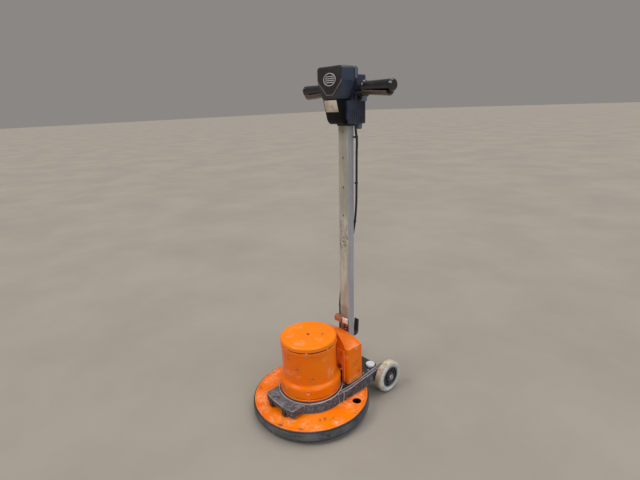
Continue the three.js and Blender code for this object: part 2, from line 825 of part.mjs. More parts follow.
function headChinCover() {
  const { front, joint, bottom, split } = head;
  const profile = (inset) => [
    [-front + inset, split - GAP + (inset ? 5 : 0)],
    [-front + 18 + inset, bottom + 14],
    [-front + 24 + inset, bottom + 4],
    [-front + 32, bottom + inset],
    [-joint + (inset ? 5 : 0), bottom + inset],
    [-joint + (inset ? 5 : 0), split - GAP + (inset ? 5 : 0)],
  ];
  return cut(sidePlate(profile(0), -33, 33), sidePlate(profile(3), -30, 30));
}

function headRearCover() {
  const { joint, bottom } = head;
  const { half, back, lumpBottom, lumpTop, shieldBack, lowerTop, flank } = rearCover;
  const start = -joint + GAP;
  const cheeks = [half - 6, -62].flatMap((x) =>
    [-14, 10].map((v) => block([x, x + 22], [v, v + 4], [978, 998])),
  );
  const flankProfile = [
    [flank.front, flank.top],
    [flank.front, bottom + flank.chamfer[1]],
    [flank.front + flank.chamfer[0], bottom],
    [start + 1, bottom],
    [start + 1, flank.top],
  ];
  const flanks = [1, -1].map((side) => {
    const across = [side * flank.inner, side * half].sort((a, b) => a - b);
    return sidePlate(flankProfile, ...across);
  });
  const outside = join(
    frontPlate(shield(0), start, -shieldBack),
    block([-half, half], [-shieldBack - 6, back], [lumpBottom, lumpTop]),
    block([-half, half], [start, back], [bottom, lowerTop]),
    ...cheeks,
  );
  const inside = join(
    frontPlate(shield(3), start - 2, -shieldBack - 3),
    block([-half + 3, half - 3], [-shieldBack - 8, back - 3], [lumpBottom + 3, lumpTop - 3]),
    block([-half + 3, half - 3], [start - 2, back - 3], [bottom + 3, lowerTop - 3]),
    block([-28, 28], [start - 2, 20], [lowerTop - 5, lumpBottom + 5]),
  );
  const { halfX, halfV } = column;
  const columnHole = block([-halfX - 1, halfX + 1], [-halfV - 1, halfV + 1], [bottom - 5, bottom + 5]);
  const barHole = alongX(rod(bar.radius + GAP, -70, 70)).translate(0, 0, bar.h);
  const buttonHole = rodY(safety.radius + 0.4, back - 8, back + 5, SMALL).translate(0, 0, safety.h);
  const leadHole = rod(lead.radius + 0.5, bottom - 5, bottom + 5, 8).translate(lead.exitX, lead.exitV, 0);
  const pinHeight = bar.h - trigger.pivotBelow;
  const pinPlaces = [trigger.pivotX, -trigger.pivotX];
  const pinHoles = pinPlaces.map((x) => rodY(3.4, -20, 20, TINY).translate(x, 0, pinHeight));
  const shell = cut(outside, inside, columnHole, barHole, buttonHole, leadHole, ...pinHoles);
  return join(shell, ...flanks);
}

function safetyButton() {
  const { back } = rearCover;
  const stem = rodY(safety.radius, back - 9, back + 7, SMALL);
  const flange = rodY(safety.radius + 3, back - 9, back - 6, SMALL);
  return join(stem, flange).translate(0, 0, safety.h);
}

function handlebar() {
  const { h, radius, half } = bar;
  return alongX(ringOf(radius - 2, radius, -half, half, SMALL)).translate(0, 0, h);
}

function handGrip() {
  const { inner, outer, radius } = grip;
  const bore = bar.radius + GAP;
  const profile = [
    [0, outer - 7],
    [bore, outer - 7],
    [bore, inner],
    [radius + 3, inner],
    [radius + 3, inner + 4],
    [radius, inner + 5],
    [radius, outer - 11],
    [radius + 1.2, outer - 9.5],
    [radius, outer - 6],
    [radius - 3, outer - 1.5],
    [0, outer],
  ];
  return alongX(turned(profile, 20)).translate(0, 0, bar.h);
}

// A switch lever: a trough under the grip, on a tongue that turns about a pin near the head.
function switchLever() {
  const { pivotX, pivotBelow, trough, from, to } = trigger;
  const { inner, outer, start, end } = trough;
  const section = [...arc(0, 0, outer, start, end, 8), ...arc(0, 0, inner, end, start, 8)];
  const channel = sidePlate(section, from, to).translate(0, 0, pivotBelow);
  // The tongue passes under the grip's flange, so it rises to the trough only beyond it.
  const tongue = block([pivotX - 6, from + 4], [-8.5, 8.5], [-3, 2.2]);
  const step = block([from, from + 6], [-8.5, 8.5], [-1, 4]);
  const pin = rodY(3, -14.5, 14.5, TINY).translate(pivotX, 0, 0);
  return join(channel, tongue, step, pin).translate(-pivotX, 0, 0);
}

part("head_front_cover", headFrontCover(), blackPlastic, upright);
part("head_chin_cover", headChinCover(), blackPlastic, upright);
part("head_rear_cover", headRearCover(), blackPlastic, upright);
part("handlebar", handlebar(), bareSteel, upright);
part("power_switch", block([-18, 18], [-62, -24], [1000, 1036]), blackPlastic, upright);
part("safety_button", safetyButton(), glossBlack, upright);
for (const [side, word] of [[1, "left"], [-1, "right"]]) {
  part(`grip_${word}`, aboutZ(handGrip(), side), glossBlack, upright);
  const pressed = part(`switch_lever_${word}`, aboutZ(switchLever(), side), leverBrown, upright);
  pressed.position.set(side * trigger.pivotX, 0, bar.h - trigger.pivotBelow);
  pressed.rotation.y = side * trigger.drop * degree;
}

// ---- Leads and glands ----

// A gland with a tapered end at tip, seated at base.
function gland(radius, tip, base) {
  const bore = lead.radius - 1.5;
  const shoulder = tip + 5 * Math.sign(base - tip);
  return turned([[bore, tip], [radius - 3, tip], [radius, shoulder], [radius, base], [bore, base]], SMALL);
}

const leadRoute = [
  [40, 4, 901],
  [39, 8, 876],
  [35, 17, 845],
  [31, 20, 800],
  [30, 20.5, 700],
  [28, 21, 620],
  [18, 22, 545],
  [2, 22.5, 480],
  [-14, 22.5, 420],
  [-28, 20, 360],
  [-37, 10, 300],
  [-41, 4, 240],
  [-42, 3, 160],
  [-43, 3, 90],
  [-43, 3, 42],
];

const mainsGland = gland(11, head.bottom - 18, head.bottom - GAP).translate(31, 33, 0);
part("mains_gland", mainsGland, blackPlastic, upright);
part("motor_lead_upper", cord(leadRoute, lead.radius, 36), glossBlack, upright);
const plateGlandTop = plate.top + plateGland.height;
const plateGlandShape = gland(plateGland.radius, plateGlandTop, plate.top + GAP);
part("plate_gland", plateGlandShape.translate(plateGland.x, plateGland.y, 0), blackPlastic);

// The lower lead goes on from the upper one's end, which is given in the upright's own frame.
const upperEnd = new THREE.Vector3(...leadRoute.at(-1)).setZ(leadRoute.at(-1)[2] - GAP);
upperEnd.applyAxisAngle(new THREE.Vector3(1, 0, 0), -lean * degree);
const lowerLeadRoute = [
  [upperEnd.x, pivot.y + upperEnd.y, pivot.z + upperEnd.z],
  [plateGland.x, plateGland.y - 2.5, 135],
  [plateGland.x, plateGland.y - 1, 115],
  [plateGland.x, plateGland.y, plateGlandTop + GAP],
];
part("motor_lead_lower", cord(lowerLeadRoute, lead.radius, 8), glossBlack);

export default machine;
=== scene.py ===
"""The looks of a single-disc rotary floor grinder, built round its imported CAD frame.

Lengths are millimetres in the CAD part's own frame, and piece() turns them into metres. The upright's
pieces are laid out in its own frame: x to the operator's left, then backwards, then up from the pivot.
"""

import math

import bmesh
import bpy
from mathutils import Matrix, Vector


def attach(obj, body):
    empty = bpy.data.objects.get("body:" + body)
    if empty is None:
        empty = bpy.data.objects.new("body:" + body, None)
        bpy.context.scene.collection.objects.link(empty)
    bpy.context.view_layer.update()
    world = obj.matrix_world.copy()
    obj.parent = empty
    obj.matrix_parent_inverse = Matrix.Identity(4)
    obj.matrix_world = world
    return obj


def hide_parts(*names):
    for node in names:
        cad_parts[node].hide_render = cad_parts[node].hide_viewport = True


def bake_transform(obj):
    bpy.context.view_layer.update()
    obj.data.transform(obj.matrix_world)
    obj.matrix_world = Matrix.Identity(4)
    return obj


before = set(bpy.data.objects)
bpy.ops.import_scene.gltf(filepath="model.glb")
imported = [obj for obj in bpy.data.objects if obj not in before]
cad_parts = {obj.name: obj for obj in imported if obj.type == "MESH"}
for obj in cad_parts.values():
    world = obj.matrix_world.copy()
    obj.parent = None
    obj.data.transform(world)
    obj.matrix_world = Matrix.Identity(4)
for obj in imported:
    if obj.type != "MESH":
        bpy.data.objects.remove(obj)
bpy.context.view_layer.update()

DEGREE = math.pi / 180
LEAN = 1.22 * DEGREE  # the upright leans back by this much
PIVOT = Vector((0, 195.3, 112))  # where it tilts
UPRIGHT = Matrix.Translation(PIVOT) @ Matrix.Rotation(-LEAN, 4, "X")
TO_METRES = Matrix.Scale(0.001, 4)
LUGS = 8  # round the motor
BOX_HALF, BOX_SHOULDER, BOX_CORNER = 106, 232.5, 12  # half width, shoulder height, front corner radius
YOKE_LOW, YOKE_HIGH = 57.3, 90
SIDES = ((1, "left"), (-1, "right"))
COLUMN_X, COLUMN_V = 22.5, 15.5  # half its width and half its depth
EYELETS = (487, 585, 686, 789, 876)
WHEEL = Vector((145, 270, 62))
BAR_HEIGHT, BUTTON_HEIGHT = 1016, 1030
LEVER_PIVOT = (56, 992)
LEVER_DROP = 4.3  # degrees that the switch levers hang down at rest


# ---- Camera, floor and light ----


def make_camera():
    right = Vector((0.66989523, 0.74137769, -0.0399938))
    up = Vector((-0.19619791, 0.22871852, 0.95351676))
    forward = Vector((-0.71606338, 0.63090963, -0.2986742))
    data = bpy.data.cameras.new("camera")
    data.sensor_width = 36
    data.lens = 24.15
    camera = bpy.data.objects.new("camera", data)
    bpy.context.scene.collection.objects.link(camera)
    axes = Matrix((right, up, -forward)).transposed().to_4x4()
    camera.matrix_world = shift(1.0647, -0.86304, 1.07661) @ axes
    bpy.context.scene.camera = camera


def sun(name, source, strength, tint, width):
    """A soft even light that comes from the direction of source."""
    data = bpy.data.lights.new(name, "SUN")
    data.energy = strength
    data.color = tint
    data.angle = width * DEGREE
    light = bpy.data.objects.new(name, data)
    bpy.context.scene.collection.objects.link(light)
    light.rotation_mode = "QUATERNION"
    light.rotation_quaternion = (-Vector(source)).to_track_quat("-Z", "Y")


def make_studio():
    world = bpy.data.worlds.new("studio")
    world.use_nodes = True
    background = world.node_tree.nodes["Background"]
    background.inputs["Color"].default_value = (0.86, 0.81, 0.77, 1)
    background.inputs["Strength"].default_value = 0.30
    bpy.context.scene.world = world
    bpy.context.scene.view_settings.view_transform = "Standard"
    sun("key", (-0.25, -0.60, 0.76), 1.35, (1, 0.98, 0.95), 28)
    sun("side", (0.80, -0.20, 0.52), 1.0, (0.80, 0.90, 1), 40)
    sun("top", (0.05, 0.35, 0.95), 1.4, (1, 0.99, 0.97), 50)


# ---- Shapes ----


def rounded(points, fillet=0.0, closed=True, steps=4):
    """An outline with each corner turned into an arc. A point may carry its own fillet as a third number."""
    smooth = []
    count = len(points)
    for i, point in enumerate(points):
        corner = Vector(point[:2])
        radius = point[2] if len(point) > 2 else fillet
        if radius <= 0 or (not closed and i in (0, count - 1)):
            smooth.append(tuple(corner))
            continue
        before = Vector(points[i - 1][:2]) - corner
        after = Vector(points[(i + 1) % count][:2]) - corner
        opening = before.angle(after)
        if opening > math.pi - 0.05:
            smooth.append(tuple(corner))
            continue
        reach = min(radius / math.tan(opening / 2), 0.46 * before.length, 0.46 * after.length)
        start = corner + before.normalized() * reach
        end = corner + after.normalized() * reach
        for k in range(steps + 1):
            t = k / steps
            smooth.append(tuple(start * (1 - t) ** 2 + corner * (2 * t * (1 - t)) + end * t**2))
    return smooth


def arc(centre, radius, start, stop, steps):
    """Points on an arc, with its angles in degrees."""
    angles = [(start + (stop - start) * k / steps) * DEGREE for k in range(steps + 1)]
    return [(centre[0] + radius * math.cos(a), centre[1] + radius * math.sin(a)) for a in angles]


def mirrored(half):
    return [*half, *[(-p[0], *p[1:]) for p in reversed(half)]]


def new_object(name, mesh):
    obj = bpy.data.objects.new(name, mesh)
    bpy.context.scene.collection.objects.link(obj)
    return obj


def build(name, vertices, faces):
    """An object from corners and faces, with doubles merged and normals pointing out."""
    mesh = bpy.data.meshes.new(name)
    mesh.from_pydata([tuple(v) for v in vertices], [], faces)
    shape = bmesh.new()
    shape.from_mesh(mesh)
    bmesh.ops.remove_doubles(shape, verts=shape.verts, dist=1e-4)
    bmesh.ops.recalc_face_normals(shape, faces=shape.faces)
    shape.to_mesh(mesh)
    shape.free()
    return new_object(name, mesh)


def bands(rows, count, closed=False):
    """Quads between neighbouring rows of count points each."""
    faces = []
    for row in range(rows if closed else rows - 1):
        here, there = row * count, (row + 1) % rows * count
        for i in range(count):
            j = (i + 1) % count
            faces.append((here + i, here + j, there + j, there + i))
    return faces


def skin(name, loops):
    """A surface through loops of equally many points, capped at both ends."""
    count = len(loops[0])
    vertices = [point for loop in loops for point in loop]
    ends = [tuple(range(count)), tuple(range(len(vertices) - count, len(vertices)))]
    return build(name, vertices, bands(len(loops), count) + ends)


TURN = {
    "Z": Matrix.Identity(4),
    "X": Matrix.Rotation(90 * DEGREE, 4, "Y"),
    "Y": Matrix.Rotation(-90 * DEGREE, 4, "X"),
}


def lathe(name, profile, segments=96, fillet=0.8, axis="Z", centre=(0, 0, 0)):
    """A turned shape from (radius, height[, fillet]) points. A profile off the axis closes on itself."""
    ring = profile[0][0] > 0
    points = rounded(profile, fillet, closed=ring)
    turns = [2 * math.pi * i / segments for i in range(segments)]
    loops = [[(r * math.cos(a), r * math.sin(a), h) for a in turns] for r, h in points]
    obj = build(name, [p for loop in loops for p in loop], bands(len(loops), segments, ring))
    return placed(obj, shift(*centre) @ TURN[axis])


def prism(name, outline, low, high, axis="Z", fillet=0.0):
    """An outline given thickness along an axis: (x, y) along Z, (x, z) along Y, or (y, z) along X."""
    order = {"Z": lambda a, b, t: (a, b, t), "Y": lambda a, b, t: (a, t, b), "X": lambda a, b, t: (t, a, b)}[axis]
    points = rounded(outline, fillet)
    return skin(name, [[order(a, b, t) for a, b in points] for t in (low, high)])


def block(name, x, y, z):
    return prism(name, [(x[0], y[0]), (x[1], y[0]), (x[1], y[1]), (x[0], y[1])], *z)


def rod(name, radius, low, high, axis="Z", centre=(0, 0, 0), segments=32, fillet=0.0):
    return lathe(name, [(0, low), (radius, low), (radius, high), (0, high)], segments, fillet, axis, centre)


def settle(obj):
    """Applies the object's modifiers."""
    bpy.context.view_layer.update()
    graph = bpy.context.evaluated_depsgraph_get()
    mesh = bpy.data.meshes.new_from_object(obj.evaluated_get(graph))
    obj.modifiers.clear()
    obj.data = mesh
    return obj


def boolean(obj, operation, tools):
    for tool in tools:
        modifier = obj.modifiers.new(operation, "BOOLEAN")
        modifier.operation = operation
        modifier.solver = "EXACT"
        modifier.object = tool
    settle(obj)
    for tool in tools:
        bpy.data.objects.remove(tool)
    return obj


def cut(obj, *tools):
    return boolean(obj, "DIFFERENCE", tools)


def join(obj, *others):
    return boolean(obj, "UNION", others)


def together(name, *objects):
    """Several separate shapes as one object, with nothing cut or joined."""
    shape = bmesh.new()
    for obj in objects:
        shape.from_mesh(obj.data)
        bpy.data.objects.remove(obj)
    mesh = bpy.data.meshes.new(name)
    shape.to_mesh(mesh)
    shape.free()
    return new_object(name, mesh)


def soften(obj, width, segments=3, angle=32):
    """Rounds the edges that are sharper than angle."""
    shape = bmesh.new()
    shape.from_mesh(obj.data)
    bmesh.ops.remove_doubles(shape, verts=shape.verts, dist=0.02)
    bmesh.ops.dissolve_limit(shape, angle_limit=0.4 * DEGREE, verts=shape.verts, edges=shape.edges)
    shape.to_mesh(obj.data)
    shape.free()
    modifier = obj.modifiers.new("edges", "BEVEL")
    modifier.width = width
    modifier.segments = segments
    modifier.limit_method = "ANGLE"
    modifier.angle_limit = angle * DEGREE
    modifier.use_clamp_overlap = True
    return settle(obj)


def shift(x, y, z):
    return Matrix.Translation((x, y, z))


def turn(degrees, axis="Z"):
    return Matrix.Rotation(degrees * DEGREE, 4, axis)


def placed(obj, place):
    obj.data.transform(place)
    return obj


def around(make, count, start=0.0):
    """Copies of a shape made on the +X side, spaced evenly about the Z axis from start, in degrees."""
    return [placed(make(f"copy{i}"), turn(start + 360 * i / count)) for i in range(count)]


def smooth_path(points, per_span=8):
    """A Catmull-Rom curve through the points."""
    knots = [Vector(p) for p in points]
    knots = [2 * knots[0] - knots[1], *knots, 2 * knots[-1] - knots[-2]]
    path = []
    for a, b, c, d in zip(knots, knots[1:], knots[2:], knots[3:]):
        for k in range(per_span):
            t = k / per_span
            square, cube = 2 * a - 5 * b + 4 * c - d, 3 * b - a - 3 * c + d
            path.append(0.5 * (2 * b + (c - a) * t + square * t**2 + cube * t**3))
    return [*path, knots[-2]]


def tube(name, path, radius, sides=16):
    """A round cord along a path, its section carried along without twisting."""
    loops = []
    across = Vector((1, 0, 0))
    for i, point in enumerate(path):
        along = (path[min(i + 1, len(path) - 1)] - path[max(i - 1, 0)]).normalized()
        across = (across - along * across.dot(along)).normalized()
        other = along.cross(across)
        turns = [2 * math.pi * k / sides for k in range(sides)]
        loops.append([point + (across * math.cos(a) + other * math.sin(a)) * radius for a in turns])
    return skin(name, loops)


def screw(name, radius, height, axis="Z", centre=(0, 0, 0)):
    """A domed screw head that stands up from centre along the axis, with a hexagon socket."""
    shoulder = (radius, height * 0.6, height * 0.4)
    head = lathe(name, [(0, -0.5), (radius, -0.5), shoulder, (radius * 0.8, height), (0, height)], 24, 0.3)
    socket = rod("socket", radius * 0.45, height * 0.35, height + 1, segments=6)
    cut(head, socket)
    return placed(head, shift(*centre) @ TURN[axis])


# ---- Finishes ----


def scaled(colour, factor, lift=0.0):
    return tuple(min(1, c * factor + lift) for c in colour)


class Finish:
    """A procedural material. Its patterns are laid out in the part's own frame, in metres."""

    def __init__(self, name, roughness=0.5, metallic=0.0, coat=0.0, specular=0.5):
        self.material = bpy.data.materials.new(name)
        self.material.use_nodes = True
        self.tree = self.material.node_tree
        self.shader = self.tree.nodes["Principled BSDF"]
        self.shader.inputs["Roughness"].default_value = roughness
        self.shader.inputs["Metallic"].default_value = metallic
        self.shader.inputs["Coat Weight"].default_value = coat
        self.shader.inputs["Coat Roughness"].default_value = 0.12
        self.shader.inputs["Specular IOR Level"].default_value = specular
        coordinates = self.tree.nodes.new("ShaderNodeTexCoord")
        self.place = coordinates.outputs["Object"]
        self.normal = coordinates.outputs["Normal"]

    def node(self, kind, inputs, **settings):
        node = self.tree.nodes.new("ShaderNode" + kind)
        for key, value in settings.items():
            setattr(node, key, value)
        for socket, value in inputs.items():
            if isinstance(value, bpy.types.NodeSocket):
                self.tree.links.new(value, node.inputs[socket])
            else:
                node.inputs[socket].default_value = value
        return node

    def noise(self, scale, detail=3.0, roughness=0.55, stretch=(1, 1, 1), turn=(0, 0, 0), shift=0.0):
        placing = {"Vector": self.place, "Scale": stretch, "Rotation": turn, "Location": (shift,) * 3}
        place = self.node("Mapping", placing)
        inputs = {"Vector": place.outputs[0], "Scale": scale, "Detail": detail, "Roughness": roughness}
        return self.node("TexNoise", inputs).outputs[0]

    def mask(self, value, low, high, to=1.0):
        """0 below low, and to above high."""
        inputs = {"Value": value, "From Min": low, "From Max": high, "To Max": to}
        return self.node("MapRange", inputs, interpolation_type="SMOOTHSTEP").outputs[0]

    def math(self, operation, a, b):
        return self.node("Math", {0: a, 1: b}, operation=operation, use_clamp=True).outputs[0]

    def times(self, a, b):
        return self.math("MULTIPLY", a, b)

    def plus(self, a, b):
        return self.math("ADD", a, b)

    def inverse(self, a):
        return self.math("SUBTRACT", 1.0, a)

    def size(self, a):
        return self.math("ABSOLUTE", a, 0.0)

    def patches(self, low, high, to, *pattern, **placing):
        """A mask of a noise: 0 where it is below low, and to where it is above high."""
        return self.mask(self.noise(*pattern, **placing), low, high, to)

    def mix(self, factor, a, b):
        colours = [(*c, 1) if isinstance(c, tuple) else c for c in (a, b)]
        return self.node("Mix", {0: factor, 6: colours[0], 7: colours[1]}, data_type="RGBA").outputs[2]

    def lay(self, colour, mask):
        """Lays a colour over the base colour where the mask says, and gives the mask back."""
        self.base = self.mix(mask, self.base, colour)
        return mask

    def near(self, centre, radius):
        """1 at a point given in millimetres, falling to 0 at the radius."""
        point = tuple(c / 1000 for c in centre)
        distance = self.node("VectorMath", {0: self.place, 1: point}, operation="DISTANCE").outputs["Value"]
        return self.mask(distance, radius / 1000, radius / 4000)

    def spots(self, places):
        """The sum of soft spots at (x, y, z, radius) in millimetres."""
        total = 0.0
        for x, y, z, radius in places:
            total = self.plus(total, self.near((x, y, z), radius))
        return total

    def facing(self, axis):
        """How far the surface faces along an axis of the part, from -1 to 1."""
        return self.node("SeparateXYZ", {0: self.normal}).outputs["XYZ".index(axis)]

    def along(self, axis, low, high):
        """0 below low and 1 above high along an axis, in millimetres."""
        split = self.node("SeparateXYZ", {0: self.place}).outputs["XYZ".index(axis)]
        return self.mask(split, low / 1000, high / 1000)

    def edges(self, radius, low=0.02, high=0.14):
        """1 on the part's outer and inner edges."""
        soft = self.node("Bevel", {"Radius": radius / 1000}, samples=4).outputs[0]
        true = self.node("NewGeometry", {}).outputs["True Normal"]
        same = self.node("VectorMath", {0: soft, 1: true}, operation="DOT_PRODUCT").outputs["Value"]
        return self.mask(self.inverse(same), low, high)

    def colour(self, value):
        socket = self.shader.inputs["Base Color"]
        if isinstance(value, tuple):
            socket.default_value = (*value, 1)
        else:
            self.tree.links.new(value, socket)

    def rough(self, value):
        self.tree.links.new(value, self.shader.inputs["Roughness"])

    def bump(self, height, depth, strength=1.0):
        """Raises the surface by height times depth, in millimetres."""
        node = self.node("Bump", {"Height": height, "Distance": depth / 1000, "Strength": strength})
        self.tree.links.new(node.outputs[0], self.shader.inputs["Normal"])


def orange_paint(name, pale, dark, wear, tones=((0.90, 0.158, 0.0006), (1.0, 0.222, 0.001))):
    """Sprayed orange enamel that has faded in places, with scuffs, scratches, pale rims and a few chips."""
    f = Finish(name, 0.34, coat=0.06, specular=0.18)
    f.base = f.mix(f.patches(0.35, 0.68, 1, 5, 2), *tones)
    patches = f.lay((1.0, 0.30, 0.06), f.patches(0.56, 0.76, 0.34 * wear, 12, 4, shift=3.1))
    grime = f.lay((0.52, 0.10, 0.006), f.patches(0.56, 0.80, 0.30 * wear, 46, 5, 0.7, shift=7.7))
    faded = f.lay((1.0, 0.36, 0.14), f.times(f.spots(pale), f.patches(0.42, 0.60, 0.62, 60, 5, 0.75, shift=1.7)))
    flecks = f.patches(0.53, 0.62, 0.9, 105, 5, 0.8, (1, 1, 2.0), shift=2.7)
    f.lay((0.95, 0.68, 0.52), f.times(faded, flecks))
    strokes = f.patches(0.52, 0.60, 1, 210, 4, 0.7, (0.30, 0.30, 1.3), (0.1, 0.2, 0.5), 5.3)
    scuffs = f.lay((0.16, 0.085, 0.05), f.times(f.times(f.spots(dark), strokes), 0.85))
    where = f.patches(0.50, 0.66, 1, 9, 2, shift=12.0)
    fine = f.patches(0.70, 0.76, 1, 260, 2, 0.5, (1, 0.05, 1), (0.3, 0.2, 0.7))
    cross = f.patches(0.71, 0.77, 1, 240, 2, 0.5, (0.05, 1, 1), (0.9, 0.1, -0.4), 4.0)
    scratches = f.times(where, f.plus(fine, cross))
    f.lay((1.0, 0.55, 0.30), f.times(scratches, 0.45 * wear))
    f.lay((1.0, 0.52, 0.33), f.times(f.edges(3.2), f.patches(0.38, 0.58, 0.75, 48, 4, 0.7, shift=9.0)))
    chips = f.lay((0.24, 0.15, 0.10), f.patches(0.735, 0.75, 0.8 * wear, 34, 6, 0.8, shift=15.0))
    f.colour(f.base)
    dull = f.plus(f.plus(patches, grime), f.plus(faded, scuffs))
    f.rough(f.plus(0.28, f.times(dull, 0.42)))
    relief = f.math("SUBTRACT", f.times(f.noise(420, 2), 0.30), f.times(chips, 0.7))
    f.bump(relief, 0.35, 0.6)
    return f


def rubber(name, colour, dust):
    """Black or grey rubber with ground-in dust, pale scuffs, scuff lines round it, and painted shade along its top
    and bottom lips.
    """
    f = Finish(name, specular=0.35)
    clouds = f.patches(0.36, 0.66, 0.75, 11, 5, 0.65, shift=2.2)
    f.base = f.mix(clouds, colour, dust)
    lines = f.lay(scaled(dust, 1.55), f.patches(0.54, 0.68, 0.6, 60, 4, 0.7, (0.25, 0.25, 4)))
    f.lay(scaled(colour, 0.5), f.patches(0.60, 0.70, 0.5, 330, 3, 0.7, shift=8.0))
    f.lay(scaled(dust, 2.3), f.patches(0.60, 0.70, 0.6, 42, 5, 0.75, (1, 1, 1.6), shift=5.0))
    # Painted shade: darker along the top lip under the deck's rim and along the bottom lip that turns under.
    painted_lip_shade = f.plus(f.along("Z", 47, 51), f.inverse(f.along("Z", 17, 24)))
    f.lay(scaled(colour, 0.3), f.times(painted_lip_shade, 0.75))
    f.lay(scaled(colour, 0.35), f.patches(0.57, 0.63, 0.7, 24, 5, 0.75, (1, 1, 1.8), shift=21.0))
    f.lay(scaled(dust, 1.9), f.times(f.edges(2.5), f.patches(0.42, 0.60, 0.6, 30, 3, shift=4.4)))
    f.colour(f.base)
    f.rough(f.plus(0.63, f.times(clouds, 0.3)))
    f.bump(f.plus(f.noise(280, 3), f.times(lines, -0.6)), 0.4, 0.5)
    return f


def cast_paint(name):
    """Thin dark grey paint on a rough casting, mottled with dried slurry, rubbed bright along its edges, and darker
    as painted shade where it doesn't face up.
    """
    f = Finish(name, 0.55, 0.1, specular=0.4)
    f.base = f.mix(f.patches(0.36, 0.62, 1, 14, 5, 0.6), (0.055, 0.050, 0.062), (0.15, 0.148, 0.165))
    upward = f.mask(f.facing("Z"), 0.35, 0.85, 0.75)
    # Painted shade: the faces that don't look up are darkened.
    f.lay((0.030, 0.026, 0.036), f.math("SUBTRACT", 0.6, upward))
    slurry = f.patches(0.47, 0.64, 0.75, 34, 6, 0.75, shift=3.0)
    slurry = f.lay((0.27, 0.255, 0.25), f.times(slurry, f.plus(0.4, upward)))
    f.lay((0.085, 0.045, 0.040), f.patches(0.56, 0.70, 0.55, 52, 5, 0.7, shift=11.0))
    speck = f.lay((0.42, 0.40, 0.39), f.patches(0.56, 0.66, 0.75, 150, 4, 0.8, shift=6.0))
    f.lay((0.022, 0.018, 0.022), f.patches(0.58, 0.66, 0.7, 110, 4, 0.75, shift=14.0))
    worn = f.times(f.edges(3.0, 0.012, 0.09), f.patches(0.30, 0.52, 0.9, 50, 4, 0.7, shift=1.0))
    f.lay((0.60, 0.57, 0.57), worn)
    f.colour(f.base)
    f.rough(f.math("SUBTRACT", 0.68, f.times(worn, 0.22)))
    f.bump(f.plus(f.noise(150, 4, 0.7), f.times(f.plus(speck, slurry), 0.4)), 0.9, 0.8)
    return f


def metal(name, colour, roughness, stain, stain_share=0.5, metallic=1.0):
    """Bare or zinc-plated metal with fine grain and dull stains."""
    f = Finish(name, roughness, metallic)
    stains = f.patches(0.44, 0.70, stain_share, 22, 5, 0.65)
    f.base = f.mix(stains, colour, stain)
    streaks = f.noise(220, 3, 0.6, shift=2.0)
    f.lay(scaled(colour, 0.72), f.mask(streaks, 0.40, 0.70, 0.35))
    f.colour(f.base)
    f.rough(f.plus(roughness - 0.05, f.times(f.plus(stains, streaks), 0.22)))
    f.bump(streaks, 0.12, 0.5)
    return f


def painted_blue_side_reflection(f, base):
    """A painted blue-grey reflection of the side light on the faces that look sideways."""
    sideways = f.size(f.facing("X"))
    return f.mix(f.mask(sideways, 0.75, 0.95), base, (0.040, 0.054, 0.098))


def painted_recess_shade(f, base):
    """Painted shade: black where the lever runs into the head's recess, its own colour under the grip."""
    across = f.size(f.node("SeparateXYZ", {0: f.place}).outputs[0])
    return f.mix(f.mask(across, 0.0885, 0.0925), (0.008, 0.008, 0.010), base)


def plastic(name, colour, light, roughness=0.45, grain=0.25, coat=0.0, wear=0.6, specular=0.5, tint=None):
    """Moulded plastic with a fine grain, faint dust and rubbed edges."""
    f = Finish(name, roughness, coat=coat, specular=specular)
    clouds = f.patches(0.38, 0.70, 0.55, 18, 4)
    f.base = f.mix(clouds, colour, light)
    if tint:
        f.base = tint(f, f.base)
    dust = f.lay(scaled(light, 1.9, 0.01), f.patches(0.56, 0.74, 0.4, 75, 5, 0.7, shift=4.0))
    f.lay(scaled(light, 2.4, 0.02), f.patches(0.70, 0.76, 0.45, 300, 2, 0.5, (0.06, 1, 1), (0.4, 0.5, 0.3), 2.0))
    f.lay(scaled(light, 2.6, 0.03), f.times(f.edges(1.6), f.patches(0.42, 0.62, wear, 40, 3, shift=6.0)))
    f.colour(f.base)
    f.rough(f.plus(roughness - 0.06, f.times(f.plus(clouds, dust), 0.25)))
    f.bump(f.noise(650, 2, 0.5), grain, 0.5)
    return f


